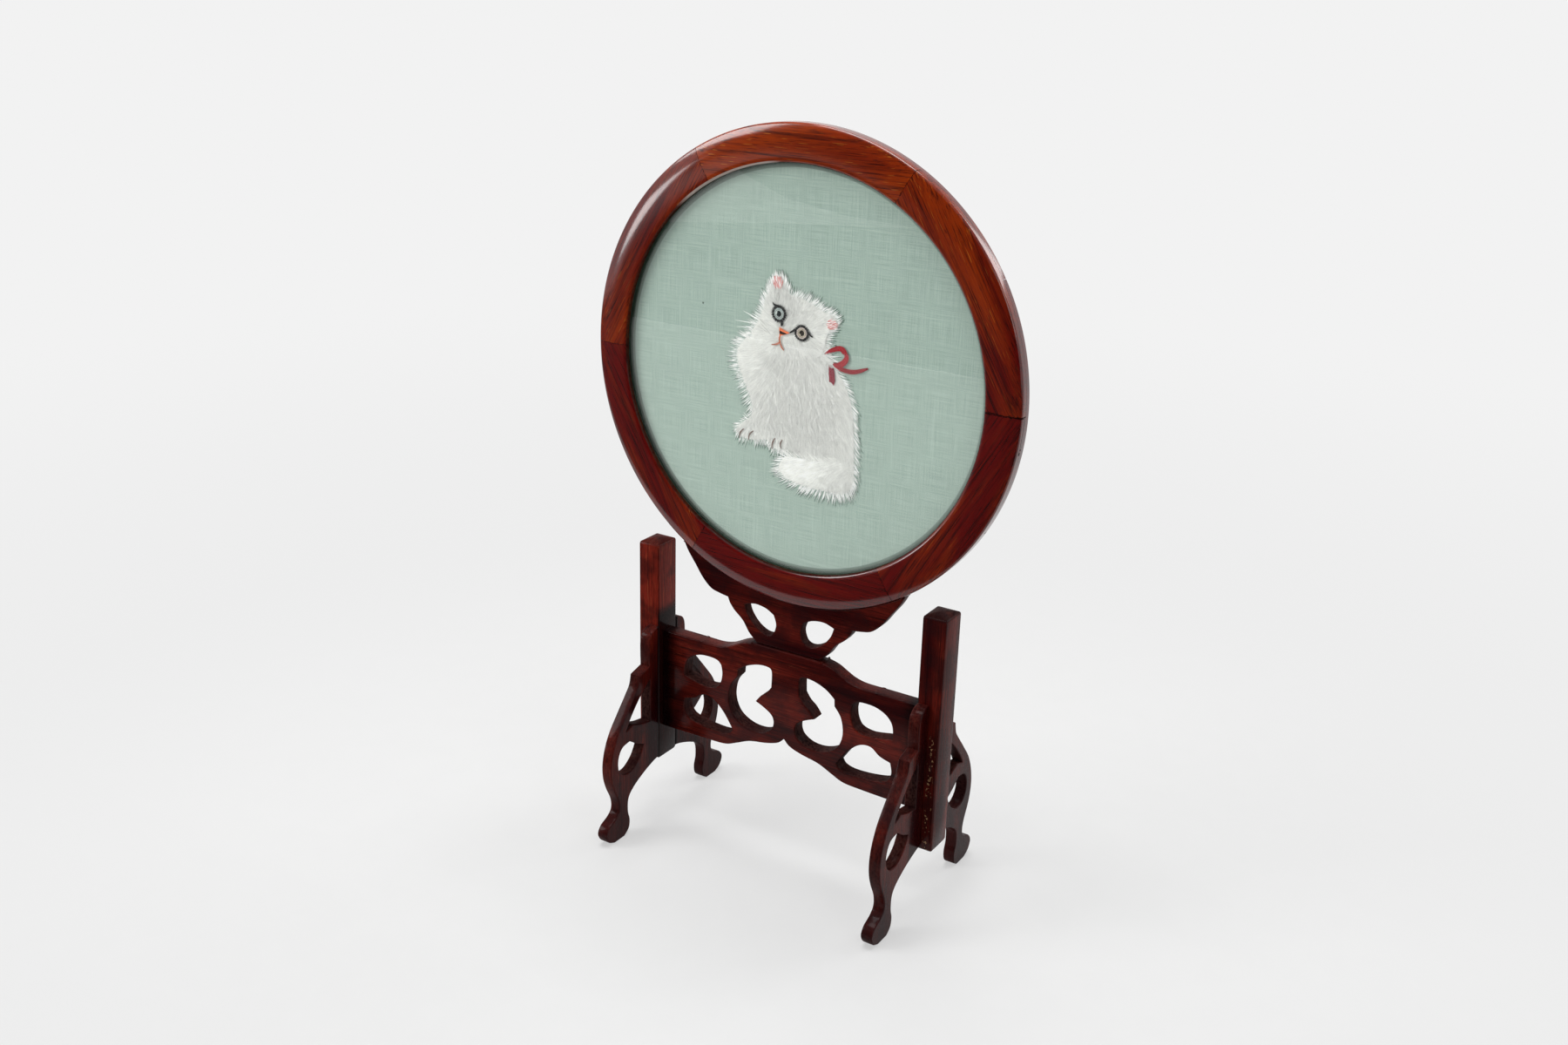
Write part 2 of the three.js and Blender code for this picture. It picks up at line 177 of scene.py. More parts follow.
class Tree:
    """A small hand for wiring node trees, which takes sockets and plain values alike."""

    def __init__(self, tree: bpy.types.NodeTree) -> None:
        """Takes the tree and empties it."""
        self.tree = tree
        tree.nodes.clear()

    def add(self, kind: str, **settings: object) -> Node:
        """Adds a node.

        Args:
            kind: the node's type name.
            settings: values for its properties; a key that names an input, with spaces as underscores, feeds it.

        Returns:
            The new node.
        """
        node = self.tree.nodes.new(kind)
        for key, value in settings.items():
            if hasattr(node, key):
                setattr(node, key, value)
            else:
                self.link(value, node.inputs[key.replace("_", " ")])
        return node

    def link(self, source: object, target: Socket) -> None:
        """Feeds an input.

        Args:
            source: the output to join to it, or the value to set it to.
            target: the input.
        """
        if isinstance(source, Socket):
            self.tree.links.new(source, target)
        else:
            target.default_value = source

    def math(self, operation: str, *values: object, clamp: bool = False) -> Socket:
        """Adds a maths step.

        Args:
            operation: what it does.
            values: the sockets and numbers that it works on.
            clamp: keeps its result between 0 and 1.

        Returns:
            The result.
        """
        node = self.add("ShaderNodeMath", operation=operation, use_clamp=clamp)
        for value, target in zip(values, node.inputs):
            self.link(value, target)
        return node.outputs[0]

    def times(self, *values: object) -> Socket:
        """Multiplies sockets and numbers and returns the product."""
        return reduce(lambda first, second: self.math("MULTIPLY", first, second), values)

    def plus(self, *values: object) -> Socket:
        """Adds sockets and numbers up and returns the sum."""
        return reduce(lambda first, second: self.math("ADD", first, second), values)

    def vector(self, operation: str, *values: object) -> Socket:
        """Adds a maths step on vectors.

        Args:
            operation: what it does.
            values: the sockets and triples that it works on.

        Returns:
            The result, which is a number for a distance, a length or a dot product.
        """
        node = self.add("ShaderNodeVectorMath", operation=operation)
        for value, target in zip(values, node.inputs):
            self.link(value, target)
        return node.outputs["Value" if operation in ("DISTANCE", "LENGTH", "DOT_PRODUCT") else "Vector"]

    def split(self, vector: Socket) -> list[Socket]:
        """Returns a vector's three parts."""
        return list(self.add("ShaderNodeSeparateXYZ", Vector=vector).outputs)

    def place(self) -> Socket:
        """Returns the place on the object, in metres."""
        return self.add("ShaderNodeTexCoord").outputs["Object"]

    def attribute(self, name: str, output: str = "Fac") -> Socket:
        """Returns what a piece's points carry under a name."""
        return self.add("ShaderNodeAttribute", attribute_name=name).outputs[output]

    def ramp(self, source: Socket, stops: Sequence[tuple[float, Colour]]) -> Socket:
        """Adds a colour ramp.

        Args:
            source: the value that picks the colour.
            stops: the places and colours of its two ends.

        Returns:
            The colour.
        """
        node = self.add("ShaderNodeValToRGB", Fac=source)
        for element, (place, colour) in zip(node.color_ramp.elements, stops):
            element.position = place
            element.color = (*colour, 1.0)
        return node.outputs["Color"]

    def range(self, source: Socket, low: float, high: float, to_low: float = 0.0, to_high: float = 1.0) -> Socket:
        """Maps a value softly from one range to another and holds it there.

        Args:
            source: the value.
            low: where it starts to change.
            high: where it stops.
            to_low: what it is up to low.
            to_high: what it is from high on.

        Returns:
            The new value.
        """
        node = self.add("ShaderNodeMapRange", clamp=True, interpolation_type="SMOOTHSTEP")
        for value, target in zip((source, low, high, to_low, to_high), node.inputs):
            self.link(value, target)
        return node.outputs["Result"]

    def within(self, source: Socket, rise: Point2, fall: Point2) -> Socket:
        """Returns 1 between a rise and a fall, each given as where the value starts and stops to change, or else 0."""
        return self.times(self.range(source, *rise), self.range(source, *fall))

    def mix(self, factor: object, first: object, second: object, blend: str = "MIX") -> Socket:
        """Mixes two colours.

        Args:
            factor: the second colour's share.
            first: a colour.
            second: another colour.
            blend: the way they are mixed.

        Returns:
            The mixed colour.
        """
        node = self.add("ShaderNodeMix", data_type="RGBA", blend_type=blend)
        self.link(factor, node.inputs[0])
        for index, colour in ((6, first), (7, second)):
            self.link(colour if isinstance(colour, Socket) else (*colour, 1.0), node.inputs[index])
        return node.outputs[2]

    def noise(self, vector: Socket, stretch: Sequence[float], detail: float = 3.0, distortion: float = 0.0) -> Socket:
        """Adds noise.

        Args:
            vector: where it is.
            stretch: how fine it is along each axis, in cycles to the metre.
            detail: how many finer layers it has.
            distortion: how much it wanders.

        Returns:
            The noise, between 0 and 1.
        """
        spread = self.vector("MULTIPLY", vector, stretch)
        node = self.add("ShaderNodeTexNoise", Vector=spread, Scale=1.0, Detail=detail, Distortion=distortion)
        return node.outputs["Fac"]


class Paint(Tree):
    """A material on its way, around a Principled shader."""

    def __init__(self, name: str, **settings: object) -> None:
        """Starts the material.

        Args:
            name: its name.
            settings: values for the shader's own sockets, with spaces as underscores.
        """
        self.material = bpy.data.materials.new(name)
        self.material.use_nodes = True
        super().__init__(self.material.node_tree)
        self.shader = self.add("ShaderNodeBsdfPrincipled", **settings)

    def feed(self, label: str, source: Socket) -> None:
        """Joins an output to one of the shader's inputs."""
        self.link(source, self.shader.inputs[label])

    def bump(self, height: Socket, strength: float, depth: float) -> None:
        """Raises the surface by a height, as deep as depth metres."""
        bump = self.add("ShaderNodeBump", Strength=strength, Distance=depth, Height=height)
        self.feed("Normal", bump.outputs["Normal"])

    def blend(self, share: Socket, second: Socket) -> Socket:
        """Mixes another shader in.

        Args:
            share: the other shader's share.
            second: the other shader.

        Returns:
            The mixed surface.
        """
        node = self.add("ShaderNodeMixShader", Fac=share)
        self.link(self.shader.outputs["BSDF"], node.inputs[1])
        self.link(second, node.inputs[2])
        return node.outputs[0]

    def done(self, surface: Socket | None = None) -> Material:
        """Returns the material, which ends in the surface given or else in its Principled shader."""
        self.add("ShaderNodeOutputMaterial", Surface=surface or self.shader.outputs["BSDF"])
        return self.material


class Group:
    """Base of the shared shader groups: built once, then placed in materials with their own values."""

    name = "Group"
    inputs: tuple[tuple[str, str, object], ...] = ()
    outputs: tuple[tuple[str, str], ...] = ()

    def __init__(self) -> None:
        """Builds the group's tree."""
        self.tree = bpy.data.node_groups.new(self.name, "ShaderNodeTree")
        for label, kind, value in self.inputs:
            socket = self.tree.interface.new_socket(label, in_out="INPUT", socket_type=kind)
            if value is not None:
                socket.default_value = value
        for label, kind in self.outputs:
            self.tree.interface.new_socket(label, in_out="OUTPUT", socket_type=kind)
        hand = Tree(self.tree)
        self.build(hand, hand.add("NodeGroupInput"), hand.add("NodeGroupOutput"))

    def build(self, hand: Tree, source: Node, sink: Node) -> None:
        """Wires the group."""
        raise NotImplementedError

    def put(self, hand: Tree, **values: object) -> Node:
        """Puts the group in a material, with values by input name, and returns its node."""
        return hand.add("ShaderNodeGroup", node_tree=self.tree, **values)


class WoodGrain(Group):
    """Straight, fine rosewood grain along the first axis of the grain coordinate, with pores and slow figure."""

    name = "Wood Grain"
    inputs = (
        ("Grain", "NodeSocketVector", None),
        ("Pale", "NodeSocketColor", (0.2, 0.05, 0.01, 1.0)),
        ("Deep", "NodeSocketColor", (0.08, 0.01, 0.005, 1.0)),
        ("Dark", "NodeSocketColor", (0.01, 0.003, 0.002, 1.0)),
        ("Streaks", "NodeSocketFloat", 1.0),
        ("Carved", "NodeSocketFloat", 0.0),
        ("Carved Colour", "NodeSocketColor", (0.05, 0.03, 0.025, 1.0)),
        ("Shift", "NodeSocketFloat", 0.0),
        ("Fleck", "NodeSocketColor", (0.3, 0.1, 0.03, 1.0)),
        ("Ends", "NodeSocketFloat", 1.0),
    )
    outputs = (("Color", "NodeSocketColor"), ("Roughness", "NodeSocketFloat"), ("Height", "NodeSocketFloat"),
               ("Lacquer", "NodeSocketFloat"))

    def build(self, hand: Tree, source: Node, sink: Node) -> None:
        """Wires slow figure, streaks, pores, bright flecks, glue joints and the duller carved walls.

        Args:
            hand: the group's wiring hand.
            source: the group's inputs.
            sink: the group's outputs.
        """
        grain, pale, deep, dark, streaks, carved, scraped, shift, bright, ends = list(source.outputs)[:len(self.inputs)]
        bands = hand.noise(grain, (14, 700, 700), 3.0, 0.25)
        fine = hand.noise(grain, (60, 2300, 2300), 2.0)
        figure = hand.range(hand.noise(grain, (11, 75, 75), 2.0, 0.3), 0.22, 0.78)
        slow = hand.math("ADD", figure, shift, clamp=True)
        color = hand.mix(slow, deep, pale)
        light = hand.times(hand.range(fine, 0.46, 0.26), hand.plus(slow, 0.15))
        for mask, amount, colour in ((hand.range(bands, 0.48, 0.72), 0.42, dark),
                                     (hand.range(fine, 0.52, 0.7), 0.5, dark), (light, 0.45, pale)):
            color = hand.mix(hand.math("MULTIPLY", hand.times(mask, amount), streaks, clamp=True), color, colour)
        pore = hand.range(hand.noise(grain, (190, 2900, 2900), 1.0), 0.62, 0.7)
        color = hand.mix(hand.times(pore, 0.5), color, dark)
        fleck = hand.range(hand.noise(grain, (110, 2300, 2300), 1.0), 0.66, 0.74)
        color = hand.mix(hand.times(fleck, hand.times(slow, 0.8)), color, bright)
        chops = hand.noise(grain, (900, 900, 260), 3.0, 0.4)
        color = hand.mix(hand.times(carved, 0.8), color, hand.mix(hand.range(chops, 0.35, 0.7), scraped, dark))
        wander = hand.math("SUBTRACT", hand.noise(grain, (500, 900, 500), 2.0), 0.5)
        crack = hand.range(hand.plus(ends, hand.times(wander, 0.0016)), 0.0003, 0.00006)
        crack = hand.times(crack, hand.range(hand.noise(grain, (2600, 2600, 2600), 2.0), 0.32, 0.5))
        color = hand.mix(hand.times(crack, 0.85), color, (0.004, 0.002, 0.002))
        hand.link(color, sink.inputs["Color"])
        dull = hand.math("MAXIMUM", carved, crack)
        hand.link(hand.math("SUBTRACT", 1.0, hand.times(dull, 0.9), clamp=True), sink.inputs["Lacquer"])
        hand.link(hand.plus(hand.times(pore, 0.12), 0.26, hand.times(dull, 0.36)), sink.inputs["Roughness"])
        relief = hand.plus(hand.times(fine, 0.3), hand.times(bands, 0.3), hand.times(pore, -0.2),
                           hand.times(chops, 3.0, carved), hand.times(crack, -2.0))
        hand.link(relief, sink.inputs["Height"])


class PlainWeave(Group):
    """A plain weave of fine uneven threads, with slubs, seen on the XZ plane of object coordinates."""

    name = "Plain Weave"
    inputs = (
        ("Place", "NodeSocketVector", None),
        ("Thread", "NodeSocketColor", (0.35, 0.45, 0.38, 1.0)),
        ("Gap", "NodeSocketColor", (0.25, 0.36, 0.29, 1.0)),
        ("Slub", "NodeSocketColor", (0.45, 0.55, 0.48, 1.0)),
    )
    outputs = (("Color", "NodeSocketColor"), ("Height", "NodeSocketFloat"))

    def build(self, hand: Tree, source: Node, sink: Node) -> None:
        """Wires warp, weft, slubs and a slow cloudiness, with four threads to the millimetre.

        Args:
            hand: the group's wiring hand.
            source: the group's inputs.
            sink: the group's outputs.
        """
        place, thread, gap, slub = list(source.outputs)[:len(self.inputs)]
        threads = hand.times(hand.plus(*(hand.noise(place, way, 2.0) for way in ((3400, 1, 70), (70, 1, 3400)))), 0.5)
        warp, weft = (hand.noise(place, way, 2.0) for way in ((620, 1, 22), (22, 1, 620)))
        color = hand.mix(hand.range(threads, 0.38, 0.62), gap, thread)
        slubs = hand.math("MAXIMUM", hand.range(warp, 0.6, 0.76), hand.range(weft, 0.58, 0.76))
        color = hand.mix(hand.times(slubs, 0.4), color, slub)
        dips = hand.math("MAXIMUM", hand.range(warp, 0.4, 0.24), hand.range(weft, 0.4, 0.24))
        color = hand.mix(hand.times(dips, 0.3), color, gap)
        cloud = hand.range(hand.noise(place, (26, 1, 26), 2.0), 0.3, 0.7)
        hand.link(hand.mix(hand.times(cloud, 0.2), color, thread), sink.inputs["Color"])
        x, _, z = hand.split(place)
        over, under = (hand.math("SINE", hand.times(way, 4000 * math.pi)) for way in (x, z))
        hand.link(hand.plus(hand.times(threads, 0.6), hand.times(over, under, 0.4)), sink.inputs["Height"])


@dataclass(frozen=True)
class WoodFinish:
    """A lacquered wood: the colours of its grain and how it takes the light."""

    name: str
    pale: Colour
    deep: Colour
    dark: Colour
    carved: Colour
    fleck: Colour
    streaks: float
    coat: float
    gloss: float = 0.02
    coat_roughness: float = 0.12
    coat_ior: float = 1.55

    def material(self, grain: WoodGrain) -> Material:
        """Builds the material.

        Args:
            grain: the shared grain.

        Returns:
            The material.
        """
        hand = Paint(self.name, Coat_Roughness=self.coat_roughness, Coat_IOR=self.coat_ior,
                     Specular_IOR_Level=self.gloss)
        group = grain.put(hand, Grain=hand.attribute("grain", "Vector"), Pale=(*self.pale, 1), Deep=(*self.deep, 1),
                          Dark=(*self.dark, 1), Streaks=self.streaks, Carved=hand.attribute("carved"),
                          Carved_Colour=(*self.carved, 1), Shift=hand.attribute("shade"), Fleck=(*self.fleck, 1))
        color, lacquer = self.mark(hand, group)
        hand.feed("Base Color", color)
        hand.feed("Roughness", group.outputs["Roughness"])
        hand.feed("Coat Weight", hand.times(lacquer, self.coat))
        hand.bump(group.outputs["Height"], 0.5, 0.00012)
        return hand.done()

    def mark(self, hand: Tree, group: Node) -> tuple[Socket, Socket]:
        """Adds the marks that this wood alone has, and returns its colour and lacquer."""
        raise NotImplementedError


@dataclass(frozen=True)
class RingFinish(WoodFinish):
    """The ring's bright wood, with a worn inner edge and an open seam that ends in pits, in mm and radians."""

    worn_reach: Point2 = (85.7, 85.3)
    worn_turn: tuple[Point2, Point2] = ((1.66, 1.76), (2.34, 2.2))
    worn_face: Point2 = (-2.8, -3.4)
    worn_colour: Colour = tone(214, 200, 190)
    seam_depth: float = 1.2
    seam_width: Point2 = (0.28, 0.1)
    seam_reach: Point2 = (98.5, 99.0)
    seam_turn: tuple[Point2, Point2] = ((-0.15, -0.145), (0.0, -0.005))
    pits: tuple[tuple[float, float, float, float], ...] = ((98.9, -1.0, 207.6, 0.9), (99.1, -0.4, 209.2, 0.5))
    hole_colour: Colour = tone(8, 4, 4)

    def mark(self, hand: Tree, group: Node) -> tuple[Socket, Socket]:
        """Draws the worn inner edge at the upper left, and the seam and pits on the outer wall.

        Args:
            hand: the material's wiring hand.
            group: the grain.

        Returns:
            The wood's colour, and how much lacquer lies on it.
        """
        hand.link(hand.attribute("ends"), group.inputs["Ends"])
        place = hand.vector("MULTIPLY", hand.place(), (1 / MM, 1 / MM, 1 / MM))
        x, y, z = hand.split(place)
        z = hand.math("SUBTRACT", z, RING_MIDDLE)
        reach = hand.math("SQRT", hand.plus(hand.times(x, x), hand.times(z, z)))
        turn = hand.math("ARCTAN2", z, x)
        worn = hand.times(hand.range(reach, *self.worn_reach), hand.within(turn, *self.worn_turn),
                          hand.range(y, *self.worn_face))
        color = hand.mix(hand.times(worn, 0.8), group.outputs["Color"], self.worn_colour)
        hole = hand.times(hand.range(hand.math("ABSOLUTE", hand.plus(y, self.seam_depth)), *self.seam_width),
                          hand.range(reach, *self.seam_reach), hand.within(turn, *self.seam_turn))
        for *middle, radius in self.pits:
            pit = hand.range(hand.vector("DISTANCE", place, middle), radius, 0.6 * radius)
            hole = hand.math("MAXIMUM", hole, pit)
        color = hand.mix(hand.times(hole, 0.95), color, self.hole_colour)
        return color, hand.times(group.outputs["Lacquer"], hand.math("SUBTRACT", 1.0, hole))


@dataclass(frozen=True)
class StandFinish(WoodFinish):
    """The stand's dark wood: pooled stain in blotches, darker towards the toes, painted shade in the corners between
    rail and posts, and flecks of glue, in millimetres.
    """

    blotch_scale: tuple[float, float, float] = (75, 75, 75)
    toe: Point2 = (42.0, 6.0)
    stain_and_shade: Colour = tone(36, 12, 14)
    corner: tuple[Point2, Point2] = ((56.0, 63.5), (66.6, 66.0))
    corner_depth: Point2 = (8.6, 7.2)
    corner_top: Point2 = (105.5, 100.0)
    corner_shade_colour: Colour = tone(9, 2, 3)
    glue_side: tuple[Point2, Point2] = ((71.8, 72.8), (75.6, 74.8))
    glue_top: Point2 = (84.0, 78.0)
    glue_face: Point2 = (-6.2, -6.6)
    glue_colour: Colour = tone(178, 140, 104)

    def mark(self, hand: Tree, group: Node) -> tuple[Socket, Socket]:
        """Darkens blotches and the toes, paints shade into the corners between rail and posts, and adds flecks of dried
        glue.

        Args:
            hand: the material's wiring hand.
            group: the grain.

        Returns:
            The wood's colour, and how much lacquer lies on it.
        """
        place = hand.place()
        x, y, z = hand.split(hand.vector("MULTIPLY", place, (1 / MM, 1 / MM, 1 / MM)))
        blotch = hand.times(hand.range(hand.noise(place, self.blotch_scale, 3.0), 0.46, 0.64), 0.6)
        # Darker towards the toes, in the same colour as the blotches.
        low = hand.times(hand.range(z, *self.toe), 0.7)
        color = hand.mix(hand.math("MAXIMUM", blotch, low), group.outputs["Color"], self.stain_and_shade)
        # Painted shade: the corners where the rail meets the posts are darkened nearly to black, as the posts shade
        # them.
        dark = hand.times(hand.within(hand.math("ABSOLUTE", x), *self.corner),
                          hand.range(hand.math("ABSOLUTE", y), *self.corner_depth), hand.range(z, *self.corner_top))
        color = hand.mix(hand.times(dark, 0.93), color, self.corner_shade_colour)
        fleck = hand.range(hand.noise(place, (1100, 1100, 700), 1.0), 0.62, 0.67)
        glue = hand.times(hand.within(x, *self.glue_side), hand.range(z, *self.glue_top),
                          hand.range(y, *self.glue_face), fleck)
        return hand.mix(glue, color, self.glue_colour), group.outputs["Lacquer"]


@dataclass(frozen=True)
class SilkFinish:
    """Celadon silk, plain woven, with a soft sheen, and painted shade where it meets the frame, whose lip shades it."""

    name: str = "Celadon Silk"
    thread: Colour = tone(160, 178, 167)
    gap: Colour = tone(139, 158, 147)
    slub: Colour = tone(175, 192, 181)
    stain_and_shade: Colour = tone(40, 58, 45)
    speck: Point3 = (-47.3, -0.15, 245.5)
    speck_colour: Colour = tone(52, 70, 62)
    # Radii in mm where the painted shade near the frame starts, deepens and is at its darkest.
    rim: Point3 = (82.4, 83.0, 84.6)

    def material(self, weave: PlainWeave) -> Material:
        """Builds the material.

        Args:
            weave: the shared weave.

        Returns:
            The material.
        """
        hand = Paint(self.name, Roughness=0.62, Specular_IOR_Level=0.25)
        place = hand.place()
        group = weave.put(hand, Place=place, Thread=(*self.thread, 1), Gap=(*self.gap, 1), Slub=(*self.slub, 1))
        away = hand.vector("DISTANCE", place, [c * MM for c in self.speck])
        color = hand.mix(hand.range(away, 0.00055, 0.0003), group.outputs["Color"], self.speck_colour)
        # Painted shade: the silk darkens towards the frame in two steps, as the frame's lip and inner wall shade it.
        reach = hand.vector("LENGTH", hand.vector("MULTIPLY_ADD", place, (1, 0, 1), (0, 0, -RING_MIDDLE * MM)))
        near, middle, far = (r * MM for r in self.rim)
        rim = hand.plus(hand.times(hand.range(reach, near, middle), 0.55),
                        hand.times(hand.range(reach, middle, far), 0.42))
        hand.feed("Base Color", hand.mix(rim, color, self.stain_and_shade))
        hand.bump(group.outputs["Height"], 0.35, 0.00006)
        return hand.done()


@dataclass(frozen=True)
class FlossFinish:
    """Silk floss in the colour that each stitch carries, with a satin sheen along the thread."""

    name: str = "Silk Floss"
    roughness: Point2 = (0.42, 0.62)

    def material(self) -> Material:
        """Builds the material, whose colour comes from the stitches' own tint.

        Returns:
            The material.
        """
        hand = Paint(self.name, Specular_IOR_Level=0.12)
        strands = hand.noise(hand.place(), (2600, 2600, 2600), 2.0)
        tint = hand.attribute("tint", "Color")
        hand.feed("Base Color", hand.mix(hand.range(strands, 0.3, 0.7), tint, (0.96, 0.96, 0.96), "MULTIPLY"))
        hand.feed("Roughness", hand.range(strands, 0.2, 0.8, *self.roughness))
        hand.bump(strands, 0.3, 0.00005)
        return hand.done()


@dataclass(frozen=True)
class GlassFinish:
    """Clear sheet glass that lets the lamps through to the silk."""

    name: str = "Sheet Glass"
    ior: float = 1.45
    tint: Colour = (0.985, 0.995, 0.99)
    shadow: Colour = (0.97, 0.98, 0.975)

    def material(self) -> Material:
        """Builds the glass.

        Returns:
            The material.
        """
        hand = Paint(self.name, Base_Color=(*self.tint, 1.0), Transmission_Weight=1.0, Metallic=0.0, IOR=self.ior,
                     Roughness=0.0)
        hand.bump(hand.noise(hand.place(), (24, 24, 24), 1.0), 0.05, 0.0002)
        clear = hand.add("ShaderNodeBsdfTransparent", Color=(*self.shadow, 1.0))
        path = hand.add("ShaderNodeLightPath")
        return hand.done(hand.blend(path.outputs["Is Shadow Ray"], clear.outputs["BSDF"]))


@dataclass(frozen=True)
class SmallFinish:
    """A plain finish for hidden pieces, mottled and a little worn."""

    name: str
    colour: Colour
    worn: Colour
    roughness: Point2
    metallic: float = 0.0

    def material(self) -> Material:
        """Builds the material on object coordinates.

        Returns:
            The material.
        """
        hand = Paint(self.name, Metallic=self.metallic)
        patches = hand.noise(hand.place(), (300, 300, 90), 3.0)
        hand.feed("Base Color", hand.ramp(patches, ((0.3, self.colour), (0.75, self.worn))))
        hand.feed("Roughness", hand.range(patches, 0.3, 0.7, *self.roughness))
        hand.bump(patches, 0.3, 0.0001)
        return hand.done()


class Finishes:
    """All the materials, built once."""

    def __init__(self) -> None:
        """Builds the shared groups and the materials."""
        grain, weave = WoodGrain(), PlainWeave()
        # The ring's carved colour darkens its inner wall: a duller cut wall, with painted shade inside the opening.
        self.ring = RingFinish("Ring Rosewood", tone(160, 55, 3), tone(102, 5, 4), tone(30, 2, 2), tone(44, 34, 20),
                               tone(204, 120, 40), streaks=1.4, coat=1.0).material(grain)
        self.stand = StandFinish("Stand Rosewood", tone(126, 38, 26), tone(46, 5, 7), tone(15, 3, 4),
                                 tone(62, 40, 36), tone(156, 76, 48), streaks=1.3, coat=0.16).material(grain)
        self.silk = SilkFinish().material(weave)
        self.floss = FlossFinish().material()
        self.glass = GlassFinish().material()
        self.hoop = SmallFinish("Hoop Paint", tone(42, 62, 52), tone(30, 46, 38), (0.52, 0.7)).material()
        self.dowel = SmallFinish("Dowel Wood", tone(196, 160, 108), tone(170, 132, 84), (0.52, 0.7)).material()
        self.brass = SmallFinish("Pin Brass", tone(196, 160, 88), tone(150, 118, 62), (0.27, 0.45), 1.0).material()


def dress(node: str, material: Material) -> None:
    """Gives a CAD node's object a material.

    Args:
        node: the CAD node's name.
        material: what it is made of.
    """
    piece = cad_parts[node]
    piece.data.materials.clear()
    piece.data.materials.append(material)
    log.info("%s keeps its CAD shape in %s", node, material.name)


@dataclass
class View:
    """The camera: where it stands, in millimetres, and which way it looks, in degrees."""

    place: Point3 = (319.25, -526.32, 384.72)
    yaw: float = 31.64
    pitch: float = 20.21
    roll: float = 1.64
    focal_pixels: float = 1790.07
    width_pixels: float = 1800.0
    sensor: float = 36.0

    def build(self) -> None:
        """Creates the camera and makes it the scene's."""
        yaw, pitch, roll = (math.radians(a) for a in (self.yaw, self.pitch, self.roll))
        back = Vector((math.sin(yaw) * math.cos(pitch), -math.cos(yaw) * math.cos(pitch), math.sin(pitch)))
        level = Vector((0, 0, 1)).cross(back).normalized()
        rise = back.cross(level)
        right = math.cos(roll) * level + math.sin(roll) * rise
        up = math.cos(roll) * rise - math.sin(roll) * level
        data = bpy.data.cameras.new("View")
        data.sensor_width = self.sensor
        data.sensor_fit = "HORIZONTAL"
        data.lens = self.sensor * self.focal_pixels / self.width_pixels
        data.clip_start, data.clip_end = 0.01, 100.0
        camera = bpy.data.objects.new("View", data)
        turn = Matrix((right, up, back)).transposed().to_4x4()
        camera.matrix_world = Matrix.Translation(Vector(self.place) * MM) @ turn
        bpy.context.scene.collection.objects.link(camera)
        bpy.context.scene.camera = camera


@dataclass(frozen=True)
class Lamp:
    """A soft rectangular lamp: where it hangs, what it points at and its size in metres, and its power in watts."""

    name: str
    place: Point3
    target: Point3
    size: Point2
    watts: float

    def build(self) -> None:
        """Hangs the lamp."""
        data = bpy.data.lights.new(self.name, "AREA")
        data.shape = "RECTANGLE"
        data.size, data.size_y = self.size
        data.energy = self.watts
        lamp = bpy.data.objects.new(self.name, data)
        aim = (Vector(self.target) - Vector(self.place)).to_track_quat("-Z", "Y").to_matrix().to_4x4()
        lamp.matrix_world = Matrix.Translation(Vector(self.place)) @ aim
        bpy.context.scene.collection.objects.link(lamp)


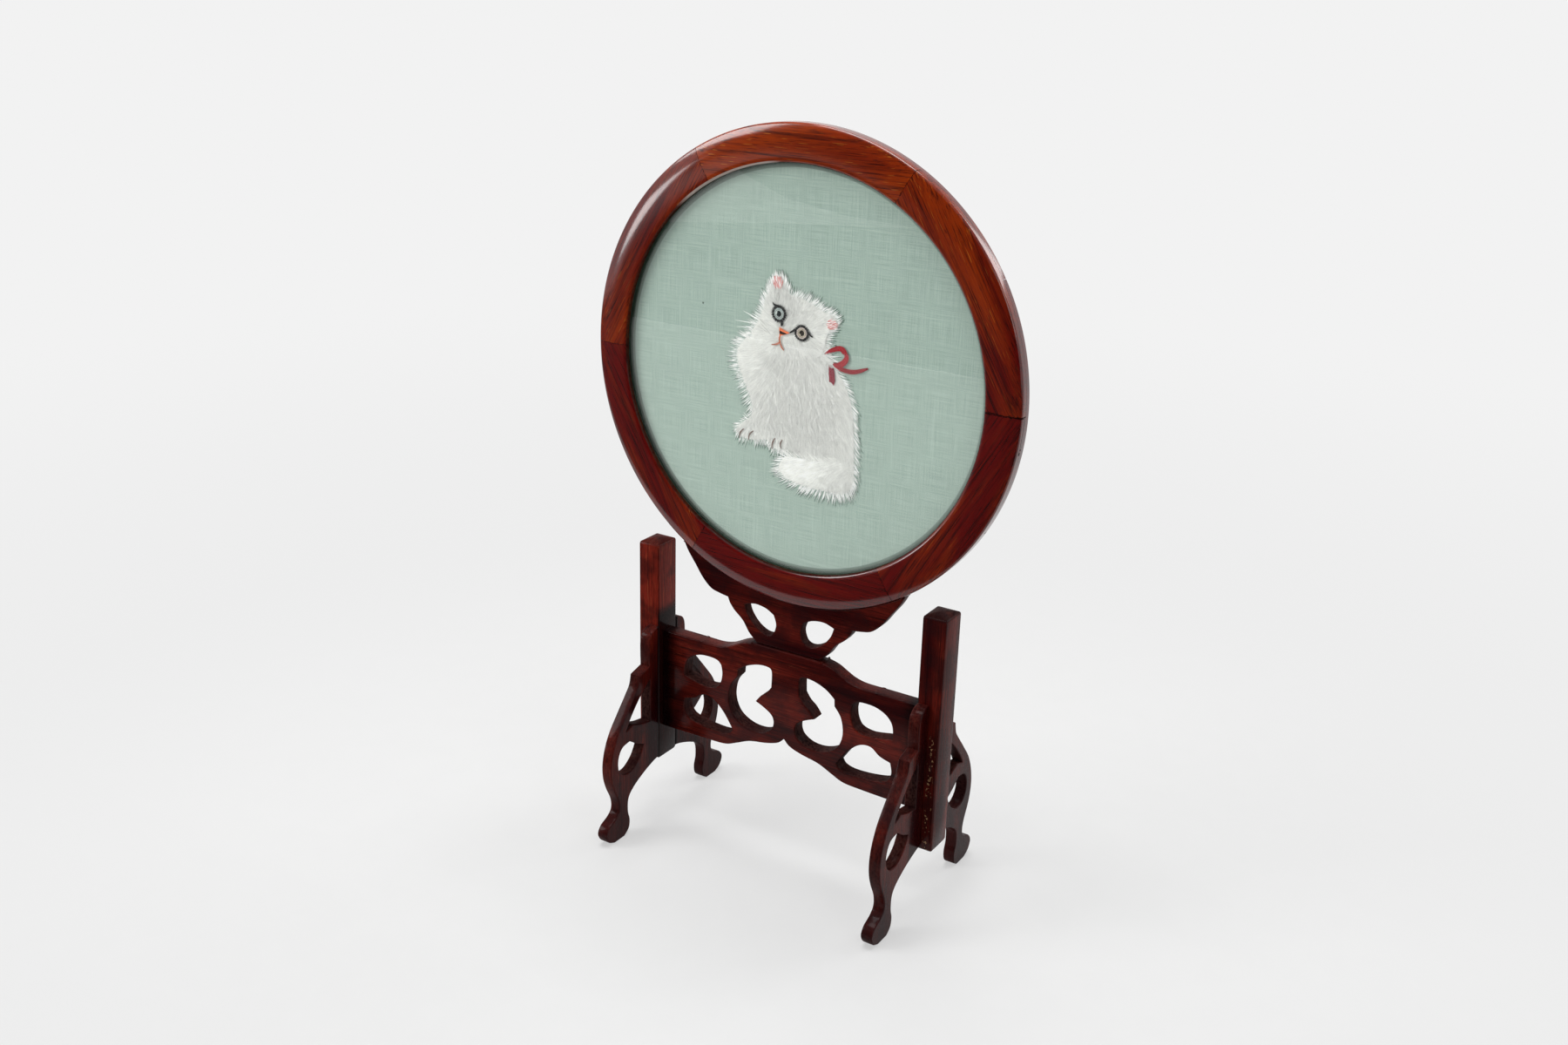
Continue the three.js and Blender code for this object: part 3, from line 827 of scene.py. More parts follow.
@dataclass
class Studio:
    """A pale table that runs up into a backdrop all round, soft lamps, and a dark card before the object."""

    reach: float = 1.7
    bend: float = 0.6
    height: float = 1.5
    sides: int = 96
    floor: Colour = (0.74, 0.74, 0.735)
    bounce: float = 0.5
    room: Colour = (0.92, 0.95, 1.0)
    room_strength: float = 0.08
    gloss_strength: float = 0.5
    table_edge: float = -0.8145
    card_half: float = 1.6
    lamps: tuple[Lamp, ...] = (
        Lamp("Key", (-1.5, -1.2, 1.15), (0.0, 0.0, 0.2), (0.8, 0.8), 16.5),
        Lamp("Left", (-1.46, -1.24, 0.22), (0.0, 0.0, 0.3), (0.42, 0.28), 3.0),
        Lamp("Top", (-0.2, 0.1, 2.3), (0.0, 0.05, 0.1), (1.6, 1.4), 47.0),
        Lamp("Fill", (1.9, -0.7, 1.05), (0.0, 0.0, 0.2), (0.9, 0.9), 5.0),
        Lamp("Behind", (0.95, 1.6, 1.2), (0.0, 0.0, 0.2), (0.9, 0.9), 9.0),
    )

    def build(self) -> None:
        """Builds the backdrop, the card, the world and the lamps."""
        bpy.context.scene.view_settings.view_transform = "Standard"
        self.backdrop()
        self.card()
        self.world()
        for lamp in self.lamps:
            lamp.build()

    def backdrop(self) -> None:
        """Lays a round sheet of paper whose rim curves up."""
        profile = [(0.4, 0.0), (0.8, 0.0), (self.reach, 0.0)]
        profile += [(self.reach + self.bend * math.sin(a), self.bend * (1 - math.cos(a)))
                    for a in (math.radians(7.5 * k) for k in range(1, 13))]
        profile.append((self.reach + self.bend, self.height))
        turns = [2 * math.pi * i / self.sides for i in range(self.sides)]
        points = [(0.0, 0.0, 0.0)] + [(r * math.cos(a), r * math.sin(a), z) for r, z in profile for a in turns]
        faces: list[Face] = []
        for i in range(self.sides):
            j = (i + 1) % self.sides
            faces.append((0, 1 + i, 1 + j))
            for a in range(1, 1 + (len(profile) - 1) * self.sides, self.sides):
                b = a + self.sides
                faces.append((a + i, b + i, b + j, a + j))
        mesh = new_mesh("backdrop", points, faces, closed=False)
        smooth(mesh)
        mesh.materials.append(self.paper())
        new_object("backdrop", mesh)

    def paper(self) -> Material:
        """Builds the backdrop's paper, which looks nearly white but lends the object less light.

        Returns:
            The material.
        """
        hand = Paint("Backdrop Paper", Roughness=0.75, Specular_IOR_Level=0.2)
        place = hand.place()
        light = tuple(min(1.0, c * 1.015) for c in self.floor)
        fibre = hand.mix(hand.range(hand.noise(place, (60, 60, 60), 3.0), 0.3, 0.7), self.floor, light)
        path = hand.add("ShaderNodeLightPath").outputs
        hand.feed("Base Color", hand.mix(hand.times(path["Is Diffuse Ray"], 1.0 - self.bounce), fibre, (0, 0, 0)))
        seen = hand.math("MAXIMUM", path["Is Camera Ray"], path["Is Glossy Ray"])
        seen = hand.math("MAXIMUM", seen, path["Is Transmission Ray"])
        away = hand.vector("LENGTH", place)
        pale = hand.mix(hand.range(away, 0.3, 1.2), tone(237, 237, 237), tone(242, 242, 242))
        glow = hand.add("ShaderNodeEmission", Strength=1.0, Color=pale)
        return hand.done(hand.blend(hand.times(seen, hand.range(away, 0.15, 0.45, 0.55, 1.0)), glow.outputs[0]))

    def card(self) -> None:
        """Stands a dark card in front, out of view, as the dark room in front of the photo's table.

        Its foot lies on the table. Only glosses see it: it neither shows itself nor takes light from the object.
        The glass, whose reflections are sharp, sees the white table through its foot, up to the table's front edge,
        and that edge as a thin bright line.
        """
        rows = ((-0.14, 0.001), (self.table_edge, 0.001), (self.table_edge - 0.004, 0.001), (-1.55, 0.001),
                (-1.6, 0.05), (-1.6, 1.3))
        points = [(x, y, z) for y, z in rows for x in (-self.card_half, self.card_half)]
        faces = [(2 * k, 2 * k + 2, 2 * k + 3, 2 * k + 1) for k in range(len(rows) - 1)]
        mesh = new_mesh("dark_card", points, faces, closed=False)
        for label, strength, colour in (("Table Card", 1.0, tone(236, 236, 236)),
                                        ("Edge Card", 1.7, tone(255, 255, 255)), ("Dark Card", 0.0, (0, 0, 0))):
            hand = Paint(label, Roughness=0.9, Base_Color=(0.03, 0.028, 0.026, 1.0))
            glow = hand.add("ShaderNodeEmission", Strength=strength, Color=(*colour, 1.0))
            path = hand.add("ShaderNodeLightPath")
            mesh.materials.append(hand.done(hand.blend(path.outputs["Is Singular Ray"], glow.outputs[0])))
        for index, face in enumerate(mesh.polygons):
            face.material_index = min(index, 2)
        card = new_object("dark_card", mesh)
        card.visible_camera = card.visible_diffuse = card.visible_shadow = card.visible_transmission = False

    def world(self) -> None:
        """Gives the room a weak, even light, and glosses a brighter wall to show."""
        world = bpy.data.worlds.new("Room")
        world.use_nodes = True
        bpy.context.scene.world = world
        hand = Tree(world.node_tree)
        path = hand.add("ShaderNodeLightPath")
        more = hand.times(path.outputs["Is Glossy Ray"], self.gloss_strength - self.room_strength)
        glow = hand.add("ShaderNodeBackground", Color=(*self.room, 1.0), Strength=hand.plus(more, self.room_strength))
        hand.add("ShaderNodeOutputWorld", Surface=glow.outputs[0])


class Recipe:
    """Base of the Geometry Nodes trees: built once, then run on any number of meshes with their own values."""

    name = "Recipe"
    inputs: tuple[tuple[str, str], ...] = ()

    def __init__(self) -> None:
        """Builds the tree, which ends in Realize Instances and Set Material."""
        self.tree = bpy.data.node_groups.new(self.name, "GeometryNodeTree")
        for label, kind in (("Geometry", "Geometry"), *self.inputs, ("Material", "Material")):
            self.tree.interface.new_socket(label, in_out="INPUT", socket_type=f"NodeSocket{kind}")
        self.tree.interface.new_socket("Geometry", in_out="OUTPUT", socket_type="NodeSocketGeometry")
        hand = Tree(self.tree)
        source = hand.add("NodeGroupInput").outputs
        real = hand.add("GeometryNodeRealizeInstances", Geometry=self.build(hand, source))
        paint = hand.add("GeometryNodeSetMaterial", Geometry=real.outputs[0], Material=source["Material"])
        hand.add("NodeGroupOutput", Geometry=paint.outputs[0])

    def build(self, hand: Tree, source: Mapping[str, Socket]) -> Socket:
        """Wires the tree and returns its geometry."""
        raise NotImplementedError

    def run(self, mesh: Mesh, material: Material, **values: object) -> Mesh:
        """Runs the tree on a mesh.

        Args:
            mesh: what the tree starts from.
            material: what the result is made of.
            values: the tree's inputs by name, with spaces as underscores.

        Returns:
            The finished plain mesh.
        """
        carrier = new_object("carrier", mesh)
        modifier = carrier.modifiers.new(self.name, "NODES")
        modifier.node_group = self.tree
        keys = {item.name: item.identifier for item in self.tree.interface.items_tree if item.in_out == "INPUT"}
        for label, value in {**values, "Material": material}.items():
            modifier[keys[label.replace("_", " ")]] = value
        evaluated = carrier.evaluated_get(bpy.context.evaluated_depsgraph_get())
        result = bpy.data.meshes.new_from_object(evaluated)
        carrier.modifiers.remove(modifier)
        bpy.data.objects.remove(carrier)
        return result


class BoardRecipe(Recipe):
    """Sweeps a profile along an arc that stands in the XZ plane, and stores the run of the board's straight grain."""

    name = "Ring Board"
    inputs = (("Radius", "Float"), ("Start", "Float"), ("Sweep", "Float"), ("Steps", "Int"), ("Centre", "Vector"),
              ("Along", "Vector"), ("Across", "Vector"), ("Offset", "Vector"), ("Tone", "Float"),
              ("First End", "Vector"), ("Last End", "Vector"), ("First Crack", "Float"), ("Last Crack", "Float"))
    wall_reach = 0.0853
    wall_slope = 2500.0

    def build(self, hand: Tree, source: Mapping[str, Socket]) -> Socket:
        """Wires arc, sweep, placing and the grain attributes.

        Args:
            hand: the tree's wiring hand.
            source: the tree's inputs.

        Returns:
            The board.
        """
        outline = hand.add("GeometryNodeMeshToCurve", Mesh=source["Geometry"])
        arc = hand.add("GeometryNodeCurveArc", Radius=source["Radius"], Start_Angle=source["Start"],
                       Sweep_Angle=source["Sweep"], Resolution=source["Steps"])
        sweep = hand.add("GeometryNodeCurveToMesh", Curve=arc.outputs[0], Profile_Curve=outline.outputs[0],
                         Fill_Caps=True)
        board = hand.add("GeometryNodeTransform", Geometry=sweep.outputs[0], Rotation=(math.pi / 2, 0, 0),
                         Translation=source["Centre"]).outputs[0]
        offset = hand.vector("SUBTRACT", hand.add("GeometryNodeInputPosition").outputs[0], source["Centre"])
        along, across = (hand.vector("DOT_PRODUCT", offset, source[way]) for way in ("Along", "Across"))
        grain = hand.add("ShaderNodeCombineXYZ", X=along, Y=across, Z=hand.split(offset)[1]).outputs[0]
        reach = hand.vector("LENGTH", hand.vector("MULTIPLY", offset, (1, 0, 1)))
        # The inner wall is marked carved: a duller cut wall, whose darker carved colour is also painted shade inside
        # the opening.
        inner = hand.math("MULTIPLY", hand.math("SUBTRACT", self.wall_reach, reach), self.wall_slope, clamp=True)
        first, last = (hand.math("SUBTRACT", hand.vector("DOT_PRODUCT", offset, source[f"{end} End"]),
                                 source[f"{end} Crack"]) for end in ("First", "Last"))
        for label, kind, value in (("grain", "FLOAT_VECTOR", hand.vector("ADD", grain, source["Offset"])),
                                   ("shade", "FLOAT", source["Tone"]), ("carved", "FLOAT", inner),
                                   ("ends", "FLOAT", hand.math("MINIMUM", first, last))):
            board = hand.add("GeometryNodeStoreNamedAttribute", data_type=kind, Geometry=board, Name=label,
                             Value=value).outputs[0]
        return board


class StitchRecipe(Recipe):
    """Lays a slim flat stitch on every point, along the point's run and as thick as its girth."""

    name = "Stitches"
    inputs = (("Rings", "Int"), ("Flatness", "Float"), ("Bluntness", "Float"))
    sides = 3
    bulge = 4.5

    def build(self, hand: Tree, source: Mapping[str, Socket]) -> Socket:
        """Wires the three-sided spindle, whose flat side looks away from the silk, and its placing.

        Args:
            hand: the tree's wiring hand.
            source: the tree's inputs.

        Returns:
            The stitches.
        """
        line = hand.add("GeometryNodeCurvePrimitiveLine", End=(0, 0, 1))
        spaced = hand.add("GeometryNodeResampleCurve", Curve=line.outputs[0], Count=source["Rings"])
        share = hand.add("GeometryNodeSplineParameter").outputs["Factor"]
        girth = hand.math("MULTIPLY", hand.times(share, hand.math("SUBTRACT", 1.0, share)), self.bulge, clamp=True)
        circle = hand.add("GeometryNodeCurvePrimitiveCircle", Resolution=self.sides, Radius=1.0)
        turned = hand.add("GeometryNodeTransform", Geometry=circle.outputs[0], Rotation=(0, 0, math.pi / 2))
        sweep = hand.add("GeometryNodeCurveToMesh", Curve=spaced.outputs[0], Profile_Curve=turned.outputs[0],
                         Scale=hand.math("MAXIMUM", girth, source["Bluntness"]), Fill_Caps=True)
        closed = hand.add("GeometryNodeMergeByDistance", Geometry=sweep.outputs[0], Distance=0.001)
        stitch = hand.add("GeometryNodeSetShadeSmooth", Geometry=closed.outputs[0], Shade_Smooth=False)
        run, girth = (hand.add("GeometryNodeInputNamedAttribute", data_type=kind, Name=label).outputs[0]
                      for label, kind in (("run", "FLOAT_VECTOR"), ("girth", "FLOAT")))
        along = hand.add("FunctionNodeAlignRotationToVector", axis="Z", Vector=run)
        aim = hand.add("FunctionNodeAlignRotationToVector", axis="Y", pivot_axis="Z", Rotation=along.outputs[0],
                       Vector=(0, 1, 0))
        size = hand.add("ShaderNodeCombineXYZ", X=girth, Y=hand.times(girth, source["Flatness"]),
                        Z=hand.vector("LENGTH", run))
        lay = hand.add("GeometryNodeInstanceOnPoints", Points=source["Geometry"], Instance=stitch.outputs[0],
                       Rotation=aim.outputs[0], Scale=size.outputs[0])
        return lay.outputs[0]


@dataclass
class Ring:
    """The round frame: two layers of six curved boards, glued end to end, in millimetres and degrees."""

    radius: float = 100.0
    inner: float = 84.7
    groove: float = 88.9
    groove_half: float = 2.55
    half_depth: float = 4.7
    glue: float = 0.1
    crown: Point2 = (7.0, 1.15)
    edge_round: float = 1.2
    inner_round: Point2 = (2.2, 1.3)
    curve_steps: int = 8
    arc_points: int = 97
    boards: int = 6
    tones: tuple[float, ...] = (-0.1, 0.3, -0.25, -0.35, -0.65, -0.5)
    open_crack: float = 0.26
    tight_crack: float = -0.12
    rng: random.Random = field(default_factory=lambda: random.Random(11))

    def profile(self, side: Side) -> Mesh:
        """Draws a layer's closed profile as an edge mesh, x outwards from the arc's radius and y in depth.

        Args:
            side: which layer it is.

        Returns:
            The edge mesh.
        """
        middle = (self.radius + self.inner) / 2
        points = [(self.inner, self.groove_half), *self.lip(), *self.shoulder(), (self.radius, self.glue / 2),
                  (self.groove, self.glue / 2), (self.groove, self.groove_half)]
        mesh = bpy.data.meshes.new("profile")
        flat = [((r - middle) * MM, side.value * y * MM, 0.0) for r, y in points]
        mesh.from_pydata(flat, [(i, (i + 1) % len(flat)) for i in range(len(flat))], [])
        return mesh

    def lip(self) -> list[Point2]:
        """Rounds the face into the opening with a quarter of an oval.

        Returns:
            The points from the opening outwards, as radius and depth.
        """
        wide, deep = self.inner_round
        turns = [math.pi * (1 - 0.5 * i / self.curve_steps) for i in range(self.curve_steps + 1)]
        return [(self.inner + wide * (1 + math.cos(a)), self.half_depth - deep * (1 - math.sin(a))) for a in turns]

    def shoulder(self) -> list[Point2]:
        """Crowns the face towards the outer wall and rounds the edge between them.

        Returns:
            The points from the flat of the face to the outer wall, as radius and depth.
        """
        run, drop = self.crown
        bend = (run * run + drop * drop) / (2 * drop)
        slope = math.asin(run / bend)
        start = self.radius - self.edge_round * (1 - math.sin(slope)) - run
        turns = [slope * i / self.curve_steps for i in range(self.curve_steps + 1)]
        crown = [(start + bend * math.sin(a), self.half_depth - bend * (1 - math.cos(a))) for a in turns]
        middle = (self.radius - self.edge_round, crown[-1][1] - self.edge_round * math.cos(slope))
        turns = [slope + (math.pi / 2 - slope) * i / self.curve_steps for i in range(1, self.curve_steps + 1)]
        return crown + [(middle[0] + self.edge_round * math.sin(a), middle[1] + self.edge_round * math.cos(a))
                        for a in turns]

    def build(self, recipe: BoardRecipe, finish: Material) -> None:
        """Sweeps and dresses all twelve boards.

        Args:
            recipe: the tree that sweeps a board.
            finish: the ring's lacquered wood.
        """
        middle = (self.radius + self.inner) / 2 * MM
        sweep = 2 * math.pi / self.boards
        slack = self.glue / 2 * MM / middle
        for side, label, turn in ((Side.FRONT, "front", 0.0), (Side.BACK, "back", 0.5)):
            for index in range(self.boards):
                start = (index + turn) * sweep
                half, end = start + sweep / 2, start + sweep
                mesh = recipe.run(
                    self.profile(side), finish, Radius=middle, Start=start + slack, Sweep=sweep - 2 * slack,
                    Steps=self.arc_points, Centre=(0.0, 0.0, RING_MIDDLE * MM),
                    Along=(-math.sin(half), 0.0, math.cos(half)), Across=(math.cos(half), 0.0, math.sin(half)),
                    Offset=tuple(self.rng.uniform(1.0, 9.0) for _ in range(3)), Tone=self.tones[index],
                    First_End=(-math.sin(start), 0.0, math.cos(start)),
                    Last_End=(math.sin(end), 0.0, -math.cos(end)),
                    First_Crack=self.crack(start), Last_Crack=self.crack(end))
                outwards(mesh)
                smooth(mesh, 50.0)
                seat(new_object(f"board_{label}_{index + 1}", mesh), Body.SCREEN,
                     f"ring_{label}_{index + 1}")

    def crack(self, angle: float) -> float:
        """Returns how far a glue joint has opened, in metres: the right-hand one most."""
        turn = math.degrees(angle) % 360
        return MM * (self.open_crack if turn < 1 or turn > 359 else self.tight_crack)


@dataclass
class Silk:
    """The silk, stretched flat over the spacers, in millimetres."""

    radius: float = 88.8
    thickness: float = 0.3
    rings: int = 24
    sides: int = 120

    def build(self, finish: Material) -> None:
        """Args:
            finish: the silk's weave.
        """
        turns = [2 * math.pi * i / self.sides for i in range(self.sides)]
        points: list[Point3] = []
        faces: list[Face] = []
        for y in (-self.thickness / 2 * MM, self.thickness / 2 * MM):
            middle = len(points)
            points.append((0.0, y, RING_MIDDLE * MM))
            for r in (self.radius * ring / self.rings for ring in range(1, self.rings + 1)):
                points += [(r * math.cos(a) * MM, y, (RING_MIDDLE + r * math.sin(a)) * MM) for a in turns]
            for i in range(self.sides):
                j = (i + 1) % self.sides
                faces.append((middle, middle + 1 + i, middle + 1 + j))
                for a in range(middle + 1, len(points) - self.sides, self.sides):
                    faces.append((a + i, a + self.sides + i, a + self.sides + j, a + j))
        front, back = len(points) // 2 - self.sides, len(points) - self.sides
        for i in range(self.sides):
            j = (i + 1) % self.sides
            faces.append((front + i, back + i, back + j, front + j))
        mesh = new_mesh("silk", points, faces)
        mesh.materials.append(finish)
        smooth(mesh)
        piece = new_object("silk", mesh)
        seat(piece, Body.SCREEN, "silk_panel")


@dataclass
class Carving:
    """A carved board: its CAD outline, smoothed, with softly rounded edges and scraped walls, in millimetres."""

    node: str
    body: Body
    axis: int
    side: int
    along: int
    seed: int
    tone: float = -0.2
    edge_round: float = 0.55
    step: float = 0.8
    corner: float = 27.0
    rough_outside: float = 0.45

    def build(self, finish: Material) -> None:
        """Builds and dresses the piece.

        Args:
            finish: the stand's lacquered wood.
        """
        loops, low, high = self.outlines()
        loops = [self.even(loop) for loop in loops]
        outer = max(range(len(loops)), key=lambda i: abs(area(loops[i])))
        loops = [loop if (area(loop) > 0) == (i == outer) else loop[::-1] for i, loop in enumerate(loops)]
        mesh = self.solid(loops, outer, low, high)
        mesh.materials.append(finish)
        smooth(mesh, 40.0)
        seat(new_object(f"carved_{self.node}", mesh), self.body, self.node)

    def outlines(self) -> tuple[list[list[Point2]], float, float]:
        """Reads the outlines of the CAD board's flat face.

        Returns:
            The closed outlines, in the two axes across the board's thickness, and the thickness' two ends.
        """
        work = bmesh.new()
        work.from_mesh(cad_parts[self.node].data)
        bmesh.ops.remove_doubles(work, verts=work.verts, dist=2e-6)
        depths = [v.co[self.axis] for v in work.verts]
        low, high = min(depths), max(depths)
        want = low if self.side < 0 else high
        flat = {f for f in work.faces if all(abs(v.co[self.axis] - want) < 2e-5 for v in f.verts)}
        links: dict[object, list[object]] = {}
        for face in work.faces:
            for edge in face.edges if face in flat else ():
                if sum(f in flat for f in edge.link_faces) == 1:
                    a, b = edge.verts
                    links.setdefault(a, []).append(b)
                    links.setdefault(b, []).append(a)
        loops, seen = [], set()
        u, v = [a for a in range(3) if a != self.axis]
        for start in links:
            if start in seen:
                continue
            loop, here, last = [], start, None
            while here not in seen:
                seen.add(here)
                loop.append((here.co[u] / MM, here.co[v] / MM))
                ahead = (n for n in links[here] if n is not last and (n not in seen or n is start))
                here, last = next(ahead, start), here
            loops.append(loop)
        work.free()
        return loops, low / MM, high / MM

    def even(self, loop: list[Point2]) -> list[Point2]:
        """Smooths an outline between its corners and spaces its points evenly.

        Args:
            loop: the outline.

        Returns:
            The new outline.
        """
        count = len(loop)
        at = [Vector(p) for p in loop]
        kinks = []
        for i in range(count):
            before, after = at[i] - at[i - 1], at[(i + 1) % count] - at[i]
            if min(before.length, after.length) > 1e-6 and before.angle(after) > math.radians(self.corner):
                kinks.append(i)
        kinks = kinks or [0]
        result: list[Point2] = []
        for index, start in enumerate(kinks):
            span = (kinks[(index + 1) % len(kinks)] - start) % count or count
            run = [at[(start + k) % count] for k in range(span + 1)]
            result += self.curve(run, len(kinks) == 1 and run[0] == run[-1])[:-1]
        return result

    def curve(self, run: Sequence[Vector], closed: bool) -> list[Point2]:
        """Draws a smooth line through points and cuts it into even steps.

        Args:
            run: the points.
            closed: whether the line comes back to its start.

        Returns:
            The points at each step.
        """
        first = run[-2] if closed else run[0] * 2 - run[1]
        last = run[1] if closed else run[-1] * 2 - run[-2]
        padded = [first, *run, last]
        fine: list[Vector] = [run[0]]
        for four in zip(padded, padded[1:], padded[2:], padded[3:]):
            fine += [spline(*four, k / 6) for k in range(1, 7)]
        lengths = [0.0]
        for a, b in zip(fine, fine[1:]):
            lengths.append(lengths[-1] + (b - a).length)
        steps = max(2, round(lengths[-1] / self.step))
        result, j = [], 0
        for k in range(steps + 1):
            want = lengths[-1] * k / steps
            while j < len(fine) - 2 and lengths[j + 1] < want:
                j += 1
            span = lengths[j + 1] - lengths[j] or 1.0
            point = fine[j].lerp(fine[j + 1], (want - lengths[j]) / span)
            result.append((point.x, point.y))
        return result

    def sections(self, low: float, high: float) -> list[Point3]:
        """Lists the sections that the wall passes through from one face to the other.

        Args:
            low: the near face's depth.
            high: the far face's depth.

        Returns:
            How far each is inset, its depth, and how much of it is wall.
        """
        r = self.edge_round
        near = [(r + 0.2, low, 0.0)]
        near += [(r * (1 - math.sin(a)), low + r * (1 - math.cos(a)), k / 4)
                 for k, a in enumerate(math.radians(22.5 * k) for k in range(5))]
        return near + [(i, low + high - d, w) for i, d, w in reversed(near)]

    def solid(self, loops: list[list[Point2]], outer: int, low: float, high: float) -> Mesh:
        """Builds the solid between two faces.

        Args:
            loops: the outlines, the outer one anticlockwise and the holes clockwise.
            outer: which outline is the outer one.
            low: the near face's depth.
            high: the far face's depth.

        Returns:
            The mesh, with its grain and carved attributes.
        """
        sections = self.sections(low, high)
        points: list[Point3] = []
        walls: list[float] = []
        faces: list[Face] = []
        rims: list[list[list[int]]] = []
        for number, loop in enumerate(loops):
            share = self.rough_outside if number == outer else 1.0
            rims.append(sleeve(loop, [(amount, depth) for amount, depth, _ in sections], points, faces))
            walls += [wall * share for *_, wall in sections for _ in loop]
        for end in (0, -1):
            faces += cover([rows[end] for rows in rims], points)
        u, v = [a for a in range(3) if a != self.axis]
        real = []
        for x, y, depth in points:
            spot = [0.0, 0.0, 0.0]
            spot[u], spot[v], spot[self.axis] = x * MM, y * MM, depth * MM
            real.append(spot)
        mesh = new_mesh(self.node, real, faces)
        store_grain(mesh, real, [self.along, *[a for a in range(3) if a != self.along]], self.seed)
        store(mesh, "carved", "FLOAT", walls)
        store(mesh, "shade", "FLOAT", [self.tone] * len(real))
        return mesh


def area(loop: Sequence[Point2]) -> float:
    """Returns the signed area inside an outline."""
    return 0.5 * sum(a[0] * b[1] - b[0] * a[1] for a, b in zip(loop, [*loop[1:], loop[0]]))


def inset(loop: Sequence[Point2], amount: float) -> list[Point2]:
    """Moves an outline to its left, which is inwards on an anticlockwise one.

    Args:
        loop: the outline.
        amount: how far.

    Returns:
        The moved outline.
    """
    result = []
    for before, here, after in zip([loop[-1], *loop[:-1]], loop, [*loop[1:], loop[0]]):
        a = (Vector(here) - Vector(before)).normalized()
        b = (Vector(after) - Vector(here)).normalized()
        left = Vector((-a.y - b.y, a.x + b.x))
        if left.length < 1e-6:
            left = Vector((-a.y, a.x))
        left.normalize()
        reach = amount / max(0.6, left.dot(Vector((-a.y, a.x))))
        result.append((here[0] + left.x * reach, here[1] + left.y * reach))
    return result


def sleeve(loop: Sequence[Point2], sections: Sequence[Point2], points: list[Point3],
           faces: list[Face]) -> list[list[int]]:
    """Builds a wall along an outline.

    Args:
        loop: the outline.
        sections: how far each section of the wall is inset, and its depth.
        points: takes the wall's points.
        faces: takes the wall's faces.

    Returns:
        The points of each section, by number.
    """
    rows = []
    for amount, depth in sections:
        rows.append(list(range(len(points), len(points) + len(loop))))
        points += [(x, y, depth) for x, y in inset(loop, amount)]
    for a, b in zip(rows, rows[1:]):
        faces += [(a[i - 1], a[i], b[i], b[i - 1]) for i in range(len(loop))]
    return rows


def cover(rims: list[list[int]], points: Sequence[Point3]) -> list[Face]:
    """Fills the flat face between its rims with triangles.

    Args:
        rims: each rim's points, by number.
        points: all points.

    Returns:
        The triangles.
    """
    index = [i for rim in rims for i in rim]
    edges, base = [], 0
    for rim in rims:
        edges += [(base + i, base + (i + 1) % len(rim)) for i in range(len(rim))]
        base += len(rim)
    flat = [Vector(points[i][:2]) for i in index]
    verts, _, triangles, origin, *_ = geometry.delaunay_2d_cdt(flat, edges, [], 1, 1e-5)
    stencils = [[tuple(points[i][:2]) for i in rim] for rim in rims]
    kept = []
    for triangle in triangles:
        centre = sum((verts[i] for i in triangle), Vector((0, 0))) / 3
        corners = [index[origin[i][0]] for i in triangle if origin[i]]
        if len(set(corners)) == 3 and sum(inside(centre, stencil) for stencil in stencils) % 2:
            kept.append(tuple(corners))
    return kept


def inside(point: Sequence[float], outline: Sequence[Point2]) -> bool:
    """Tells whether a point is inside a closed outline."""
    pairs = zip(outline, [*outline[1:], outline[0]])
    return sum((ay > point[1]) != (by > point[1]) and point[0] < ax + (point[1] - ay) * (bx - ax) / (by - ay)
               for (ax, ay), (bx, by) in pairs) % 2 == 1


